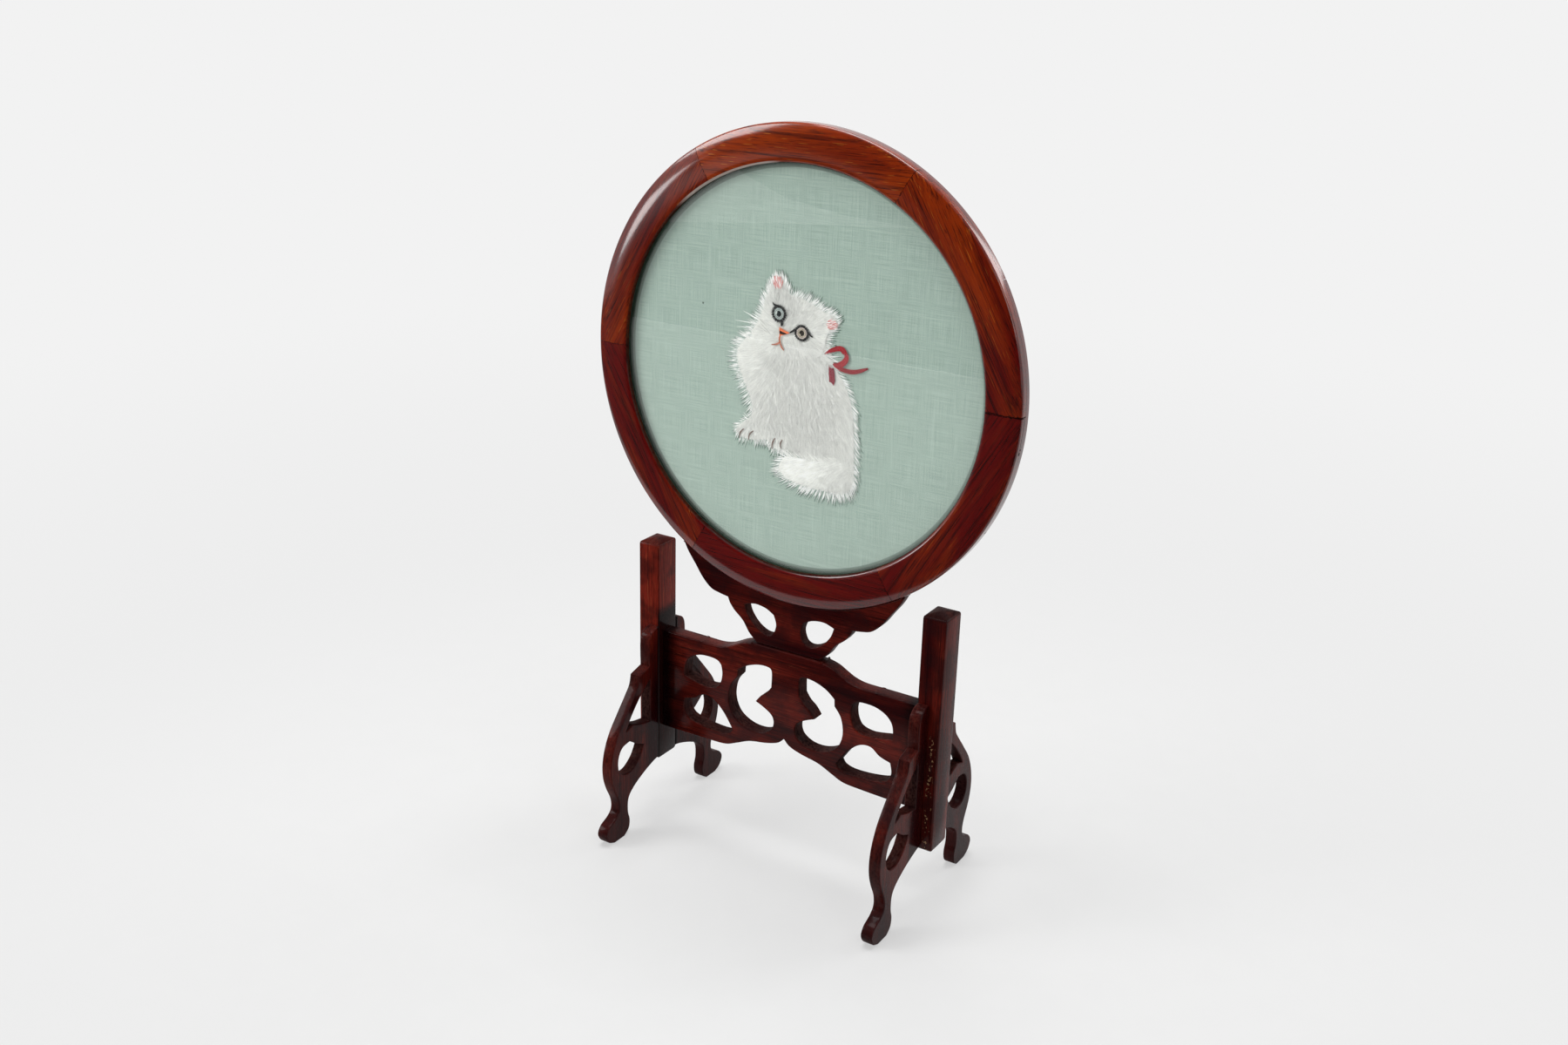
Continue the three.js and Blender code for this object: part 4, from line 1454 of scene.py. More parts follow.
@dataclass
class Post:
    """A square post with a softly domed end-grain top, in millimetres."""

    label: str
    x: float
    tone: float
    width: float = 10.8
    depth: float = 13.4
    foot: float = 28.4
    length: float = 106.0
    dome: float = 1.5
    edge: float = 0.7
    arc_steps: int = 4
    end_shade: float = -0.5
    end_carved: float = 0.75

    def build(self, finish: Material) -> None:
        """Lofts and dresses the post.

        Args:
            finish: the stand's lacquered wood.
        """
        points: list[Point3] = []
        ends: list[float] = []
        faces: list[Face] = []
        last: list[int] = []
        for scale, z, end in self.levels():
            spots = [(0.0, 0.0)] if scale == 0 else self.section(scale)
            row = list(range(len(points), len(points) + len(spots)))
            points += [((self.x + x) * MM, y * MM, z * MM) for x, y in spots]
            ends += [end] * len(spots)
            size = max(len(last), len(row)) if last else 0
            for i in range(size):
                j = (i + 1) % size
                ring = (last[i % len(last)], last[j % len(last)], row[j % len(row)], row[i % len(row)])
                faces.append(tuple(dict.fromkeys(ring)))
            last = row
        mesh = new_mesh(f"post_{self.label}", points, faces)
        store_grain(mesh, points, (2, 0, 1), self.label)
        store(mesh, "shade", "FLOAT", [self.tone + self.end_shade * end for end in ends])
        store(mesh, "carved", "FLOAT", [self.end_carved * end for end in ends])
        mesh.materials.append(finish)
        smooth(mesh, 60.0)
        seat(new_object(f"turned_post_{self.label}", mesh), Body.STAND, f"post_{self.label}")

    def levels(self) -> list[Point3]:
        """Lists the post's levels from foot to top.

        Returns:
            How wide each is, as a share of the post, how high it is, and how much of it is end grain.
        """
        top = self.foot + self.length
        rows = [(0.0, self.foot, 0.0), (0.88, self.foot, 0.0), (0.93, self.foot + 0.08, 0.0)]
        rows += [(1.0, self.foot + rise, 0.0) for rise in (0.9, 12.0, 60.0, self.length - 0.9)]
        rows += [(0.988, top - 0.35, 0.3), (0.955, top + 0.12, 0.8)]
        return rows + [(s, top + self.dome * (1 - s * s), 1.0) for s in (0.9, 0.8, 0.65, 0.5, 0.35, 0.2, 0.0)]

    def section(self, scale: float) -> list[Point2]:
        """Draws a rounded rectangle.

        Args:
            scale: how much it is shrunk.

        Returns:
            Its points.
        """
        spots = []
        half_x, half_y = self.width / 2 - self.edge, self.depth / 2 - self.edge
        for number, (sx, sy) in enumerate(((1, 1), (-1, 1), (-1, -1), (1, -1))):
            for k in range(self.arc_steps + 1):
                a = math.radians(90 * (number + k / self.arc_steps))
                spots.append(((sx * half_x + self.edge * math.cos(a)) * scale,
                              (sy * half_y + self.edge * math.sin(a)) * scale))
        return spots


@dataclass(frozen=True)
class Lie:
    """How the hair lies at one place, in millimetres: the way it points in degrees, its light and its length. Its light
    is the fur's own tone with painted shade, lower under the chin and on the belly.
    """

    x: float
    z: float
    lean: float
    light: float
    length: float


@dataclass(frozen=True)
class Patch:
    """One area of the cat that is stitched in one go, with the levels above the silk that its floss takes.

    Its outline is the edge of the dense hair, and the fringe stands out beyond it.
    """

    name: str
    outline: tuple[Point2, ...]
    lies: tuple[Lie, ...]
    stitches: int
    fringe: int
    low: float
    high: float
    pad: float
    spread: float = 5.0

    def edge(self) -> list[Point2]:
        """Returns the outline as a smooth closed curve."""
        return closed_curve(self.outline, 6)

    def level(self, share: float) -> float:
        """Returns how high floss lies above the middle of the silk, for a share of the way up."""
        return self.low + (self.high - self.low) * share

    def lie(self, x: float, z: float) -> Point3:
        """Blends the nearest lies into one.

        Args:
            x: across, in millimetres from the middle of the ring.
            z: up, in millimetres from the middle of the ring.

        Returns:
            The way the hair points in radians, its light and its length.
        """
        east = north = light = length = total = 0.0
        for item in self.lies:
            away = ((x - item.x) ** 2 + (z - item.z) ** 2) / self.spread ** 2
            weight = math.exp(-away) + 1e-4 / (1 + away)
            angle = math.radians(item.lean)
            east += weight * math.cos(angle)
            north += weight * math.sin(angle)
            light += weight * item.light
            length += weight * item.length
            total += weight
        return math.atan2(north, east), light / total, length / total


def lies(*rows: tuple[float, float, float, float, float]) -> tuple[Lie, ...]:
    """Turns rows of numbers into lies."""
    return tuple(Lie(*row) for row in rows)


class Stencil:
    """An outline cut into thin rows, so that many points can be tested against it quickly."""

    def __init__(self, outline: Sequence[Point2], step: float = 0.15) -> None:
        """Notes where each row crosses the outline.

        Args:
            outline: the closed outline.
            step: how far apart the rows are.
        """
        self.step = step
        self.low = min(z for _, z in outline)
        count = int((max(z for _, z in outline) - self.low) / step) + 1
        self.rows = [self.crossings(outline, self.low + (k + 0.5) * step) for k in range(count)]

    @staticmethod
    def crossings(outline: Sequence[Point2], z: float) -> list[float]:
        """Returns where a level line crosses the outline, from left to right."""
        pairs = zip(outline, [*outline[1:], outline[0]])
        return sorted(ax + (z - az) * (bx - ax) / (bz - az) for (ax, az), (bx, bz) in pairs if (az > z) != (bz > z))

    def holds(self, x: float, z: float) -> bool:
        """Tells whether a point is inside the outline."""
        row = int((z - self.low) / self.step)
        return z >= self.low and row < len(self.rows) and bisect(self.rows[row], x) % 2 == 1


def closed_curve(points: Sequence[Point2], steps: int) -> list[Point2]:
    """Draws a smooth closed curve.

    Args:
        points: what it passes through.
        steps: how many pieces it has between two of them.

    Returns:
        The curve's points.
    """
    at = [Vector(p) for p in points]
    fours = zip([at[-1], *at[:-1]], at, [*at[1:], at[0]], [*at[2:], *at[:2]])
    return [tuple(spline(*four, k / steps)) for four in fours for k in range(steps)]


def open_curve(points: Sequence[Point2], steps: int) -> list[Vector]:
    """Draws a smooth open curve.

    Args:
        points: what it passes through.
        steps: how many pieces it has between two of them.

    Returns:
        The curve's points.
    """
    at = [Vector(p) for p in points]
    padded = [at[0] * 2 - at[1], *at, at[-1] * 2 - at[-2]]
    fours = zip(padded, padded[1:], padded[2:], padded[3:])
    return [*(spline(*four, k / steps) for four in fours for k in range(steps)), at[-1]]


def width_at(widths: Sequence[float], share: float) -> float:
    """Reads how wide a line is at a place.

    Args:
        widths: its widths at even distances, from start to end.
        share: how far along it the place is, from 0 to 1.

    Returns:
        The width.
    """
    along = share * (len(widths) - 1)
    k = min(int(along), len(widths) - 2)
    return widths[k] + (widths[k + 1] - widths[k]) * (along - k)


@dataclass
class StitchBook:
    """A list of stitches on its way to becoming a piece, in millimetres from the middle of the ring."""

    rng: random.Random
    starts: list[Point3] = field(default_factory=list)
    runs: list[Point3] = field(default_factory=list)
    girths: list[float] = field(default_factory=list)
    tints: list[Colour] = field(default_factory=list)

    def lay(self, start: Sequence[float], end: Sequence[float], girth: float, tint: Colour, level: float,
            rise: float = 0.0) -> None:
        """Notes one stitch.

        Args:
            start: where it comes up through the silk.
            end: where it goes down again.
            girth: half its width.
            tint: its colour.
            level: how far above the middle of the silk it starts.
            rise: how much higher it ends.
        """
        self.starts.append((start[0], level, start[1]))
        self.runs.append((end[0] - start[0], rise, end[1] - start[1]))
        self.girths.append(girth)
        self.tints.append(tuple(min(1.0, max(0.0, c)) for c in tint))

    def vary(self, colour: Colour, amount: float) -> Colour:
        """Returns a colour a little lighter or darker, as one thread differs from the next."""
        factor = 1 + self.rng.gauss(0, amount)
        return tuple(c * factor for c in colour)

    def mesh(self) -> Mesh:
        """Turns the stitches' starting points on the front into a mesh.

        Returns:
            The mesh, with run, girth and tint on its points.
        """
        mesh = new_mesh("stitch_points", [(x * MM, -y * MM, (z + RING_MIDDLE) * MM) for x, y, z in self.starts], [],
                        closed=False)
        store(mesh, "run", "FLOAT_VECTOR", (c * MM for x, y, z in self.runs for c in (x, -y, z)))
        store(mesh, "girth", "FLOAT", (g * MM for g in self.girths))
        store(mesh, "tint", "FLOAT_COLOR", (c for colour in self.tints for c in (*colour, 1.0)))
        return mesh


@dataclass(frozen=True)
class Floss:
    """The threads' colours."""

    white: Colour = tone(238, 238, 233)
    bright: Colour = tone(250, 250, 247)
    # Painted shadow: the colour of the strokes that stand for the loose hairs' shadows on the silk.
    shade: Colour = tone(74, 102, 88)
    grey: Colour = tone(186, 186, 180)
    black: Colour = tone(9, 8, 8)
    orange: Colour = tone(222, 112, 66)
    rust: Colour = tone(205, 122, 92)
    brown: Colour = tone(132, 108, 98)
    pink: Colour = tone(214, 140, 136)
    red: Colour = tone(154, 10, 25)
    wine: Colour = tone(126, 14, 38)
    blood: Colour = tone(112, 12, 24)
    cool_glint: Colour = tone(214, 222, 216)
    warm_glint: Colour = tone(206, 196, 170)


FLOSS = Floss()

# In each lie the fourth number is the hair's light: the fur's own tone with painted shade, lower under the chin and on
# the belly.
BODY = Patch(
    "body",
    ((14, 10), (18, 4.5), (21.5, 0.5), (24.3, -5), (26.3, -12), (27.2, -20), (27.8, -30), (28, -40), (26.5, -44.5),
     (20, -46), (8, -38), (-3, -33), (-12, -31), (-19.5, -27), (-22, -22), (-22, -17), (-24, -12), (-27, -6),
     (-29.5, 0), (-30, 5), (-27.5, 10), (-22, 13), (-10, 10), (4, 10)),
    lies((-30, 5, 185, 1, 5), (-31, 0, 194, 1, 5), (-28, -8, 212, 0.98, 5), (-24, -14, 222, 0.93, 5),
         (-24, 10, 176, 1, 5), (-20, 3, 205, 1, 5), (-18, -5, 225, 0.97, 5), (-18, -14, 240, 0.91, 5),
         (-20, -22, 250, 0.88, 4.5), (-10, 6, 238, 0.84, 4.5), (-8, 1, 252, 0.88, 5), (-8, -8, 262, 0.88, 5),
         (-8, -15, 268, 0.82, 4.5), (-8, -24, 270, 0.84, 4), (0, 5, 275, 0.86, 5), (0, -5, 275, 0.86, 5),
         (0, -15, 275, 0.82, 5), (0, -25, 275, 0.84, 4.5), (0, -31, 270, 0.82, 4), (10, 6, 300, 0.91, 5),
         (12, 0, 298, 0.88, 5), (12, -10, 290, 0.84, 5), (10, -20, 285, 0.84, 5), (10, -30, 276, 0.84, 4),
         (18, 3, 318, 0.95, 4.5), (22, -2, 318, 0.93, 4.5), (24, -8, 306, 0.93, 4.5), (20, -10, 296, 0.88, 5),
         (27, -15, 302, 0.95, 4.5), (24, -22, 292, 0.91, 5), (28, -28, 298, 0.95, 4.5), (22, -32, 285, 0.88, 5),
         (28, -40, 298, 0.93, 4.5), (24, -44, 288, 0.88, 4.5)),
    17000, 680, 0.22, 0.55, 0.3)

TAIL = Patch(
    "tail",
    ((22, -32.5), (12, -34.5), (3, -34.8), (-4, -35.5), (-7, -38), (-8, -41.5), (-5.5, -44.5), (-1, -46),
     (8, -47), (18, -47), (24.5, -45.8), (27, -42.5), (26.5, -37)),
    lies((20, -33.5, 200, 1.01, 4.5), (12, -36, 198, 1.09, 5), (4, -37, 195, 1.13, 5), (-5, -39, 195, 1.07, 5),
         (-9, -43, 206, 1.01, 5), (-4, -46, 222, 1.01, 5), (4, -47, 240, 1.03, 5), (8, -42, 215, 1.09, 5.5),
         (14, -47, 256, 0.96, 5), (20, -46, 270, 0.89, 4.5), (25, -44, 292, 0.84, 4.5), (20, -39, 225, 0.91, 5),
         (-2, -42, 205, 1.11, 5)),
    5200, 430, 0.34, 0.68, 0.36)

PAWS = Patch(
    "paws",
    ((-23, -22), (-28, -25.5), (-29.8, -28.5), (-28, -31), (-23, -31.8), (-18, -31.2), (-15, -30.2), (-13, -31.3),
     (-11, -33.2), (-8, -33.6), (-5, -32), (-3.5, -28), (-6, -24), (-14, -22)),
    lies((-28, -28, 245, 1, 3), (-25, -30, 262, 1.05, 3), (-20, -30, 270, 1, 3), (-15, -27, 262, 0.93, 3.2),
         (-13, -31, 255, 1, 3), (-8, -32, 268, 1.05, 3), (-5, -29, 285, 0.95, 3), (-20, -24, 258, 0.91, 3.5),
         (-10, -25, 262, 0.86, 3.5)),
    2000, 180, 0.3, 0.62, 0.33, 3.5)

HEAD = Patch(
    "head",
    ((-10, 38.6), (-7.4, 37.0), (-5.6, 34.2), (-4.2, 32.4), (1, 31.8), (6, 30), (11, 27.8), (15, 27), (17.3, 25),
     (16.5, 21.8), (14, 19.5), (13, 16), (12.5, 12), (9, 8), (2, 6.5), (-6, 5.5), (-12, 6.5), (-19, 9), (-23, 13),
     (-21.5, 17),
     (-19, 21), (-17.6, 25), (-16.5, 29), (-15, 32), (-13.6, 35), (-12.6, 37.2)),
    lies((-10, 36, 95, 0.93, 3), (-14, 33, 120, 0.95, 3.5), (-17, 29, 140, 0.98, 4), (-18, 24, 155, 1, 4),
         (-20, 19, 170, 1, 4.5), (-22, 14, 180, 1.05, 5), (-15, 20, 165, 1, 4), (-14, 28, 125, 0.93, 3.5),
         (-10, 31, 95, 0.82, 3.5), (-7, 28, 88, 0.82, 3.5), (-4, 32, 80, 0.91, 3.5), (-3, 25, 75, 0.88, 3.5),
         (1, 31, 62, 0.98, 4), (3, 26, 55, 1, 4), (7, 29, 48, 1, 4), (6, 23, 38, 1, 4), (12, 27, 35, 1.05, 4),
         (12, 22, 15, 1, 3.5), (16, 25, 30, 1.05, 3), (10, 16, 355, 1, 4), (12, 11, 325, 0.95, 4),
         (8, 10, 320, 0.93, 4), (5, 10, 310, 0.93, 4), (0, 11, 290, 0.98, 4), (-4, 10, 275, 0.95, 4),
         (-8, 8, 260, 0.88, 4), (-14, 10, 215, 1, 4.5), (-19, 10, 200, 1.05, 5), (-14, 15, 190, 1, 4),
         (-5, 20, 60, 0.95, 2.5), (-6, 24, 80, 0.88, 3)),
    11500, 700, 0.3, 0.7, 0.34, 3.6)


@dataclass(frozen=True)
class Eye:
    """One eye of the cat, stitched in rings, in millimetres from the middle of the ring."""

    x: float
    z: float
    wide: float
    tall: float
    bands: tuple[tuple[float, float, Colour], ...]
    spacing: float = 0.24

    def stitch(self, book: StitchBook) -> None:
        """Lays the bands from the pupil out to the dark rim, as short stitches that point at the middle.

        Args:
            book: takes the stitches.
        """
        for order, (near, far, colour) in enumerate(self.bands):
            count = max(10, round(2 * math.pi * far * 3.4 / self.spacing))
            for i in range(count):
                a = 2 * math.pi * (i + book.rng.uniform(-0.3, 0.3)) / count
                inner = near + book.rng.uniform(-0.04, 0.03)
                outer = far + book.rng.uniform(-0.02, 0.03) + (0.09 if far > 0.9 and i % 4 == 0 else 0.0)
                ends = [(self.x + self.wide * r * math.cos(a), self.z + self.tall * r * math.sin(a))
                        for r in (inner, outer)]
                book.lay(*ends, 0.14, book.vary(colour, 0.08), 0.98 + 0.02 * order)


EYES = (
    Eye(-9.4, 24.0, 3.5, 3.6, (
        (0.0, 0.4, tone(8, 22, 27)), (0.37, 0.48, tone(206, 216, 210)), (0.44, 0.54, tone(116, 130, 128)),
        (0.52, 0.72, tone(184, 194, 190)), (0.63, 1.0, FLOSS.black))),
    Eye(1.6, 17.6, 3.5, 3.4, (
        (0.0, 0.4, tone(40, 27, 12)), (0.37, 0.48, tone(206, 194, 170)), (0.46, 0.55, tone(128, 112, 98)),
        (0.53, 0.75, tone(204, 190, 182)), (0.67, 1.0, FLOSS.black))),
)


@dataclass
class Embroidery:
    """The cat: padded underlay, long-and-short hair, face, ribbon and claws, alike on both faces of the silk."""

    girth: Point2 = (0.09, 0.14)
    rng: random.Random = field(default_factory=lambda: random.Random(27))
    stencils: dict[str, Stencil] = field(
        default_factory=lambda: {patch.name: Stencil(patch.edge()) for patch in (BODY, TAIL, PAWS, HEAD)})
    known: dict[tuple[str, int, int], Point3] = field(default_factory=dict)

    def build(self, recipe: StitchRecipe, finish: Material) -> None:
        """Stitches every piece on the front and mirrors it to the back.

        Args:
            recipe: the tree that turns points into stitches.
            finish: the silk floss.
        """
        makers: tuple[tuple[str, Callable[[StitchBook], None], int, float], ...] = (
            ("fur_body", self.body, 3, 0.0), ("fur_tail", self.tail, 3, 0.0), ("fur_head", self.head, 3, 0.0),
            ("face", self.face, 4, 0.35), ("ribbon", self.ribbon, 4, 0.8))
        self.publish("underlay", self.underlay(finish))
        for name, maker, rings, blunt in makers:
            book = StitchBook(self.rng)
            maker(book)
            log.info("%s: %d stitches", name, len(book.starts))
            self.publish(name, recipe.run(book.mesh(), finish, Rings=rings, Flatness=0.4, Bluntness=blunt))

    @staticmethod
    def publish(name: str, mesh: Mesh) -> None:
        """Seats a mesh on the front and its mirror image on the back.

        Args:
            name: the piece's name, without its side.
            mesh: the front's mesh.
        """
        for side in Side:
            made = mesh if side is Side.FRONT else mesh.copy()
            if side is Side.BACK:
                made.transform(Matrix.Diagonal((1, -1, 1, 1)))
                made.flip_normals()
            label = side.name.lower()
            seat(new_object(f"{name}_{label}", made), Body.SCREEN, f"embroidery_{label}")

    @staticmethod
    def underlay(finish: Material) -> Mesh:
        """Builds the low pads under the hair.

        Args:
            finish: the silk floss.

        Returns:
            The pads' mesh.
        """
        points: list[Point3] = []
        faces: list[Face] = []
        for patch in (BODY, TAIL, PAWS, HEAD):
            edge = patch.edge()
            edge = edge if area(edge) > 0 else edge[::-1]
            wall = ((1.4, 0.16), (0.7, 0.16), (0.6, 0.2), (1.2, patch.pad - 0.04), (1.9, patch.pad))
            rows = sleeve(edge, wall, points, faces)
            faces += cover([rows[0]], points) + cover([rows[-1]], points)
        mesh = new_mesh("underlay", [(x * MM, -y * MM, (z + RING_MIDDLE) * MM) for x, z, y in points], faces)
        store(mesh, "tint", "FLOAT_COLOR", (c for _ in points for c in (*(0.93 * w for w in FLOSS.white), 1.0)))
        mesh.materials.append(finish)
        smooth(mesh)
        return mesh

    def lie(self, patch: Patch, x: float, z: float) -> Point3:
        """Looks up how the hair lies at the nearest whole millimetre, which is worked out once.

        Args:
            patch: the area.
            x: across, in millimetres from the middle of the ring.
            z: up, in millimetres from the middle of the ring.

        Returns:
            The way the hair points in radians, its light and its length.
        """
        key = (patch.name, round(x), round(z))
        if key not in self.known:
            self.known[key] = patch.lie(key[1], key[2])
        return self.known[key]

    def fill(self, book: StitchBook, patch: Patch) -> None:
        """Fills a patch with hair that ends inside its outline.

        Args:
            book: takes the stitches.
            patch: the area.
        """
        edge, holds = patch.edge(), self.stencils[patch.name].holds
        spans = [(min(p[axis] for p in edge), max(p[axis] for p in edge)) for axis in (0, 1)]
        laid = 0
        while laid < patch.stitches:
            x, z = (self.rng.uniform(*span) for span in spans)
            if not holds(x, z):
                continue
            laid += 1
            lean, light, length = self.lie(patch, x, z)
            lean += self.rng.gauss(0, 0.08)
            length *= self.rng.uniform(0.6, 1.1)
            while not holds(x + length * math.cos(lean), z + length * math.sin(lean)) and length > 0.5:
                length *= 0.7
            end = (x + length * math.cos(lean), z + length * math.sin(lean))
            tuft = 1 + 0.14 * noise.noise(Vector((x * 0.45, z * 0.45, 0)))
            # The lie's light tints the white floss: the fur's own tone, and painted shade.
            tint = book.vary(tuple(c * light * tuft for c in FLOSS.white), 0.07)
            book.lay((x, z), end, self.rng.uniform(*self.girth), tint, patch.level(laid / patch.stitches),
                     self.rng.uniform(-0.1, 0.06))

    def fringe(self, book: StitchBook, patch: Patch) -> None:
        """Feathers a patch's edge with loose hairs, and lays painted shadows in dark floss beside those that lie on the
        silk.

        Args:
            book: takes the stitches.
            patch: the area.
        """
        edge = patch.edge()
        turn = 1 if area(edge) > 0 else -1
        pairs = [(Vector(a), Vector(b)) for a, b in zip(edge, [*edge[1:], edge[0]])]
        for a, b in self.rng.choices(pairs, weights=[(b - a).length for a, b in pairs], k=patch.fringe):
            spot = a.lerp(b, self.rng.random())
            out = Vector((b.y - a.y, a.x - b.x)).normalized() * turn
            lean, light, length = self.lie(patch, spot.x, spot.y)
            lean += self.rng.gauss(0, 0.12)
            way = Vector((math.cos(lean), math.sin(lean)))
            facing = way.dot(out)
            if facing < 0.66:
                way = (way + out * (0.72 - facing)).normalized()
            start = spot - way * self.rng.uniform(0.6, 2.2)
            end = spot + way * max(length, 3.4) * self.rng.uniform(0.4, 1.2)
            level = patch.level(self.rng.random())
            on_silk = not any(stencil.holds(end.x, end.y) for stencil in self.stencils.values())
            # Hair that ends on the fur takes the lie's light, painted shade included; hair that ends on the silk is
            # bright.
            hair = FLOSS.bright if on_silk else tuple(c * light for c in FLOSS.white)
            book.lay(start, end, self.rng.uniform(*self.girth), book.vary(hair, 0.05), level,
                     (0.2 - level) if on_silk else 0.0)
            # Painted shadow: a dark stroke just below and right of the hair, where the hair would shade the silk.
            if on_silk and self.rng.random() < (0.95 if out.x > 0.1 or out.y < -0.6 else 0.6):
                aside = Vector((0.22, -0.22)) + way * self.rng.uniform(0.2, 1.0)
                book.lay(start.lerp(end, 0.45) + aside, end + aside, self.rng.uniform(0.12, 0.17),
                         book.vary(FLOSS.shade, 0.15), 0.17)

    def coat(self, book: StitchBook, *patches: Patch) -> None:
        """Lays the fringe and then the dense hair of each patch.

        Args:
            book: takes the stitches.
            patches: the areas, in order.
        """
        for patch in patches:
            self.fringe(book, patch)
            self.fill(book, patch)

    def body(self, book: StitchBook) -> None:
        """Lays the body."""
        self.coat(book, BODY)

    def tail(self, book: StitchBook) -> None:
        """Lays the paws and the tail over the body."""
        self.coat(book, PAWS, TAIL)

    def head(self, book: StitchBook) -> None:
        """Lays the head over the chest."""
        self.coat(book, HEAD)

    def face(self, book: StitchBook) -> None:
        """Lays ears, eyes, nose, mouth, whiskers and claws.

        Args:
            book: takes the stitches.
        """
        self.ear(book, (-10.4, 35.9), (2.3, 2.2), 100, 200)
        self.ear(book, (14.6, 22.9), (2.1, 1.9), 8, 170)
        for eye in EYES:
            eye.stitch(book)
        for points, widths, colour, level in (
                (((-10.2, 24.6), (-10.9, 24.2), (-10.4, 23.7)), (0.5, 0.7, 0.3), FLOSS.cool_glint, 1.1),
                (((0.3, 18.0), (0.1, 17.2), (1.2, 16.9)), (0.4, 0.6, 0.3), FLOSS.warm_glint, 1.1),
                (((-8.2, 20.9), (-7.7, 20.3), (-8.1, 19.1)), (1.5, 1.3, 0.35), FLOSS.black, 1.08),
                (((-12.6, 28.4), (-11.6, 27.3), (-9.6, 27.2)), (0.2, 0.9, 0.6), FLOSS.black, 1.08),
                (((-1.4, 18.9), (-2.4, 18.0), (-4.2, 16.8)), (0.9, 0.8, 0.25), FLOSS.black, 1.08),
                (((4.9, 18.3), (5.4, 17.5), (6.8, 16.7)), (0.8, 0.7, 0.15), FLOSS.black, 1.08)):
            self.line(book, points, widths, colour, level)
        self.nose(book)
        for points in (((-20, 21), (-17, 19.4), (-14.6, 17.4)), ((-19.6, 17.6), (-17, 16.6), (-14, 15)),
                       ((-18.4, 19), (-15, 16.4), (-12.4, 14.2))):
            path = open_curve(points, 4)
            for here, ahead in zip(path[::2], path[3::2]):
                book.lay(here, ahead, 0.1, book.vary(FLOSS.grey, 0.06), 0.9)
        for start, end in (((-19, 18.4), (-31, 18.2)), ((-20, 16.8), (-30, 15.6)), ((-5.5, 11), (7.5, 10.6)),
                           ((-19, 20.2), (-27, 22.6))):
            book.lay(start, end, 0.14, FLOSS.bright, 0.9, -0.5)
        for points in (((-27.6, -32), (-27.3, -29.4), (-25.4, -27.3)), ((-22.9, -31.8), (-22.6, -29.4), (-20.6, -27.3)),
                       ((-11.2, -33.6), (-11.1, -31), (-9.8, -28.6)), ((-6.7, -32.6), (-7.3, -30.8), (-6.3, -28.6))):
            self.line(book, points, (0.3, 0.62, 0.25), FLOSS.brown, 0.92)

    def ear(self, book: StitchBook, middle: Point2, half: Point2, lean: float, count: int) -> None:
        """Lays the pink inside of an ear.

        Args:
            book: takes the stitches.
            middle: where the ear is.
            half: half its width and height.
            lean: the way its hair points, in degrees.
            count: how many stitches it takes.
        """
        for _ in range(count):
            r, a = math.sqrt(self.rng.random()), self.rng.uniform(0, 2 * math.pi)
            spot = (middle[0] + half[0] * r * math.cos(a), middle[1] + half[1] * r * math.sin(a))
            way = math.radians(lean + self.rng.gauss(0, 10))
            end = (spot[0] + 1.7 * math.cos(way), spot[1] + 1.7 * math.sin(way))
            colour = FLOSS.pink if self.rng.random() < 0.66 else FLOSS.bright
            book.lay(spot, end, 0.11, book.vary(colour, 0.1), self.rng.uniform(0.78, 0.86))

    def nose(self, book: StitchBook) -> None:
        """Lays the nose and the mouth.

        Args:
            book: takes the stitches.
        """
        for t in (i / 25 for i in range(26)):
            book.lay((-8.9 + 4.9 * t, 18.7 - 1.8 * t), (-8.7 + 0.7 * t, 14.4 + 0.9 * t), 0.16,
                     book.vary(FLOSS.orange, 0.07), 1.14)
        for points, widths in ((((-8.7, 14.8), (-8.9, 13.4), (-8.5, 12.2)), (0.7, 0.6, 0.6)),
                               (((-8.6, 12.4), (-10.2, 11.3), (-12.6, 10.8)), (0.7, 0.6, 0.2)),
                               (((-8.6, 12.4), (-8.0, 10.8), (-6.6, 9.3)), (0.6, 0.7, 0.3))):
            self.line(book, points, widths, FLOSS.rust, 1.04)

    @staticmethod
    def line(book: StitchBook, points: Sequence[Point2], widths: Sequence[float], colour: Colour,
             level: float) -> None:
        """Lays a stem-stitched line: short stitches along a curve, side by side where it is wide.

        Args:
            book: takes the stitches.
            points: what the curve passes through.
            widths: how wide the line is, from start to end.
            colour: its colour.
            level: how far above the middle of the silk it lies.
        """
        path = open_curve(points, 8)
        for strand in (-0.5, -0.17, 0.17, 0.5):
            for i in range(0, len(path) - 3, 2):
                here, ahead = path[i], path[min(len(path) - 1, i + 4)]
                width = width_at(widths, i / (len(path) - 1))
                normal = Vector((-(ahead - here).y, (ahead - here).x)).normalized() * width * strand * 0.75
                book.lay(here + normal, ahead + normal, 0.08 + width * 0.1, book.vary(colour, 0.07), level)

    def satin(self, book: StitchBook, points: Sequence[Point2], widths: Sequence[float], slant: float,
              colour: Colour, level: float) -> None:
        """Lays satin stitches across a band that follows a curve.

        Args:
            book: takes the stitches.
            points: what the curve passes through.
            widths: how wide the band is, from start to end.
            slant: how far the stitches lean along it.
            colour: its colour.
            level: how far above the middle of the silk it lies.
        """
        self.line(book, points, [0.9 * w for w in widths], FLOSS.blood, level - 0.12)
        path = open_curve(points, 14)
        for i, here in enumerate(path[:-1]):
            ahead = (path[i + 1] - here).normalized()
            way = Vector((-ahead.y, ahead.x)) + ahead * slant
            half = way * width_at(widths, i / (len(path) - 1)) / 2 * self.rng.uniform(0.96, 1.06)
            book.lay(here - half, here + half, 0.11, book.vary(colour, 0.09), level + self.rng.uniform(0, 0.03))

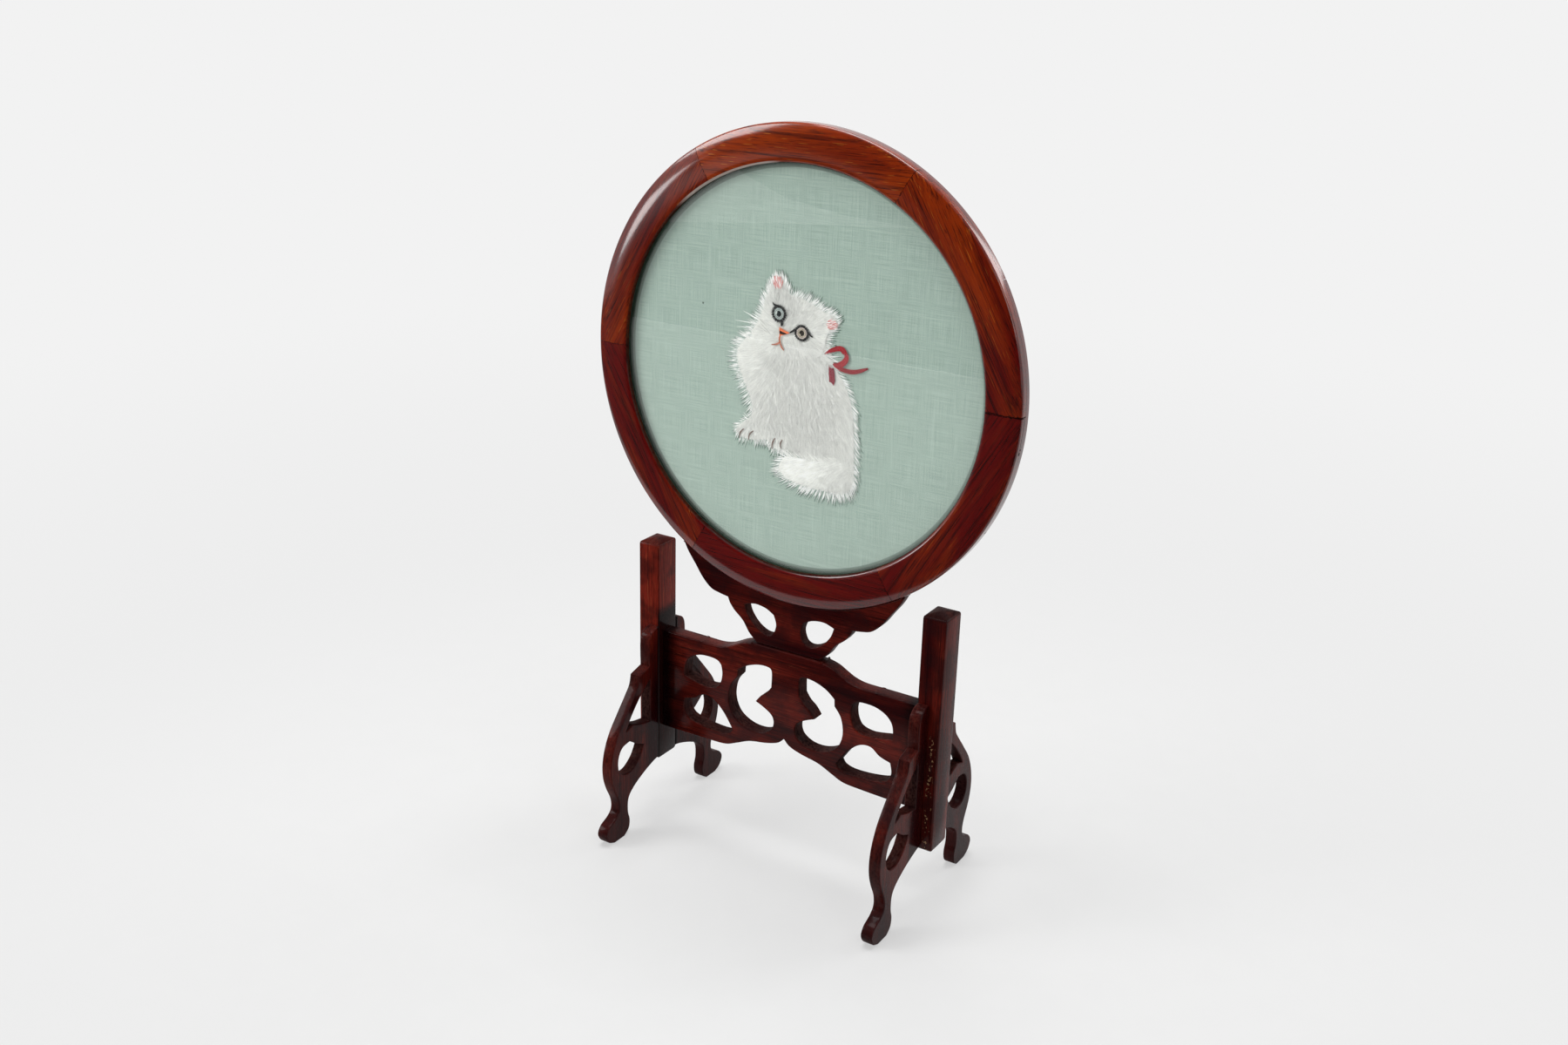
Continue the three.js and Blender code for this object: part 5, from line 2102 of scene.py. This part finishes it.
    def ribbon(self, book: StitchBook) -> None:
        """Lays the loop and the two tails of the ribbon, and the hairs that cross its knot.

        Args:
            book: takes the stitches.
        """
        self.satin(book, ((15.9, 5.5), (16.1, 3.5), (16.2, 1.4), (16.1, -0.5)), (2.4, 2.7, 2.8, 2.3), 0.9,
                   FLOSS.wine, 0.86)
        self.satin(book, ((12.7, 10.9), (15.4, 12.6), (18.4, 13.8), (20.6, 13.6), (21.8, 12.2)),
                   (0.6, 1.6, 2.2, 2.4, 2.1), 0.7, FLOSS.red, 0.88)
        self.satin(book, ((22.4, 12.2), (22.6, 10.3), (21.2, 8.3), (18.6, 7.0), (16.6, 7.4)),
                   (1.9, 2.2, 2.6, 2.3, 0.5), 0.6, FLOSS.red, 0.9)
        self.satin(book, ((17.0, 6.9), (20.4, 5.7), (25.0, 5.3), (29.0, 6.3), (32.5, 7.9)),
                   (0.5, 1.9, 2.0, 1.6, 0.3), 0.6, FLOSS.red, 0.92)
        for _ in range(26):
            start = Vector((self.rng.uniform(10.5, 13.2), self.rng.uniform(6.2, 11.6)))
            way = math.radians(self.rng.uniform(-28, 24))
            end = start + Vector((math.cos(way), math.sin(way))) * self.rng.uniform(2.6, 4.2)
            book.lay(start, end, 0.09, book.vary(FLOSS.white, 0.04), 1.0)


def main() -> None:
    """Builds the screen, camera first, and reports each piece."""
    logging.basicConfig(level=logging.INFO, format="%(message)s")
    View().build()
    Studio().build()
    finishes = Finishes()
    Ring().build(BoardRecipe(), finishes.ring)
    Silk().build(finishes.silk)
    Embroidery().build(StitchRecipe(), finishes.floss)
    for nodes, finish in ((("glass_front", "glass_back"), finishes.glass),
                          (("spacer_front", "spacer_back"), finishes.hoop),
                          (("saddle_dowel_left", "saddle_dowel_right"), finishes.dowel),
                          (("pivot_pin",), finishes.brass)):
        for node in nodes:
            dress(node, finish)
    Carving("saddle", Body.SCREEN, 1, -1, 0, seed=5, tone=-0.35).build(finishes.stand)
    Carving("cross_rail", Body.STAND, 1, -1, 0, seed=6, tone=-0.18).build(finishes.stand)
    for seed, (near, side, inner) in enumerate((("front", "left", 1), ("front", "right", -1), ("back", "left", 1),
                                                ("back", "right", -1)), start=20):
        Carving(f"bracket_{near}_{side}", Body.STAND, 0, inner, 2, seed=seed).build(finishes.stand)
    for label, x, shade in (("left", -71.2, 1.0), ("right", 71.2, -0.1)):
        Post(label, x, shade).build(finishes.stand)


if __name__ == "__main__":
    main()
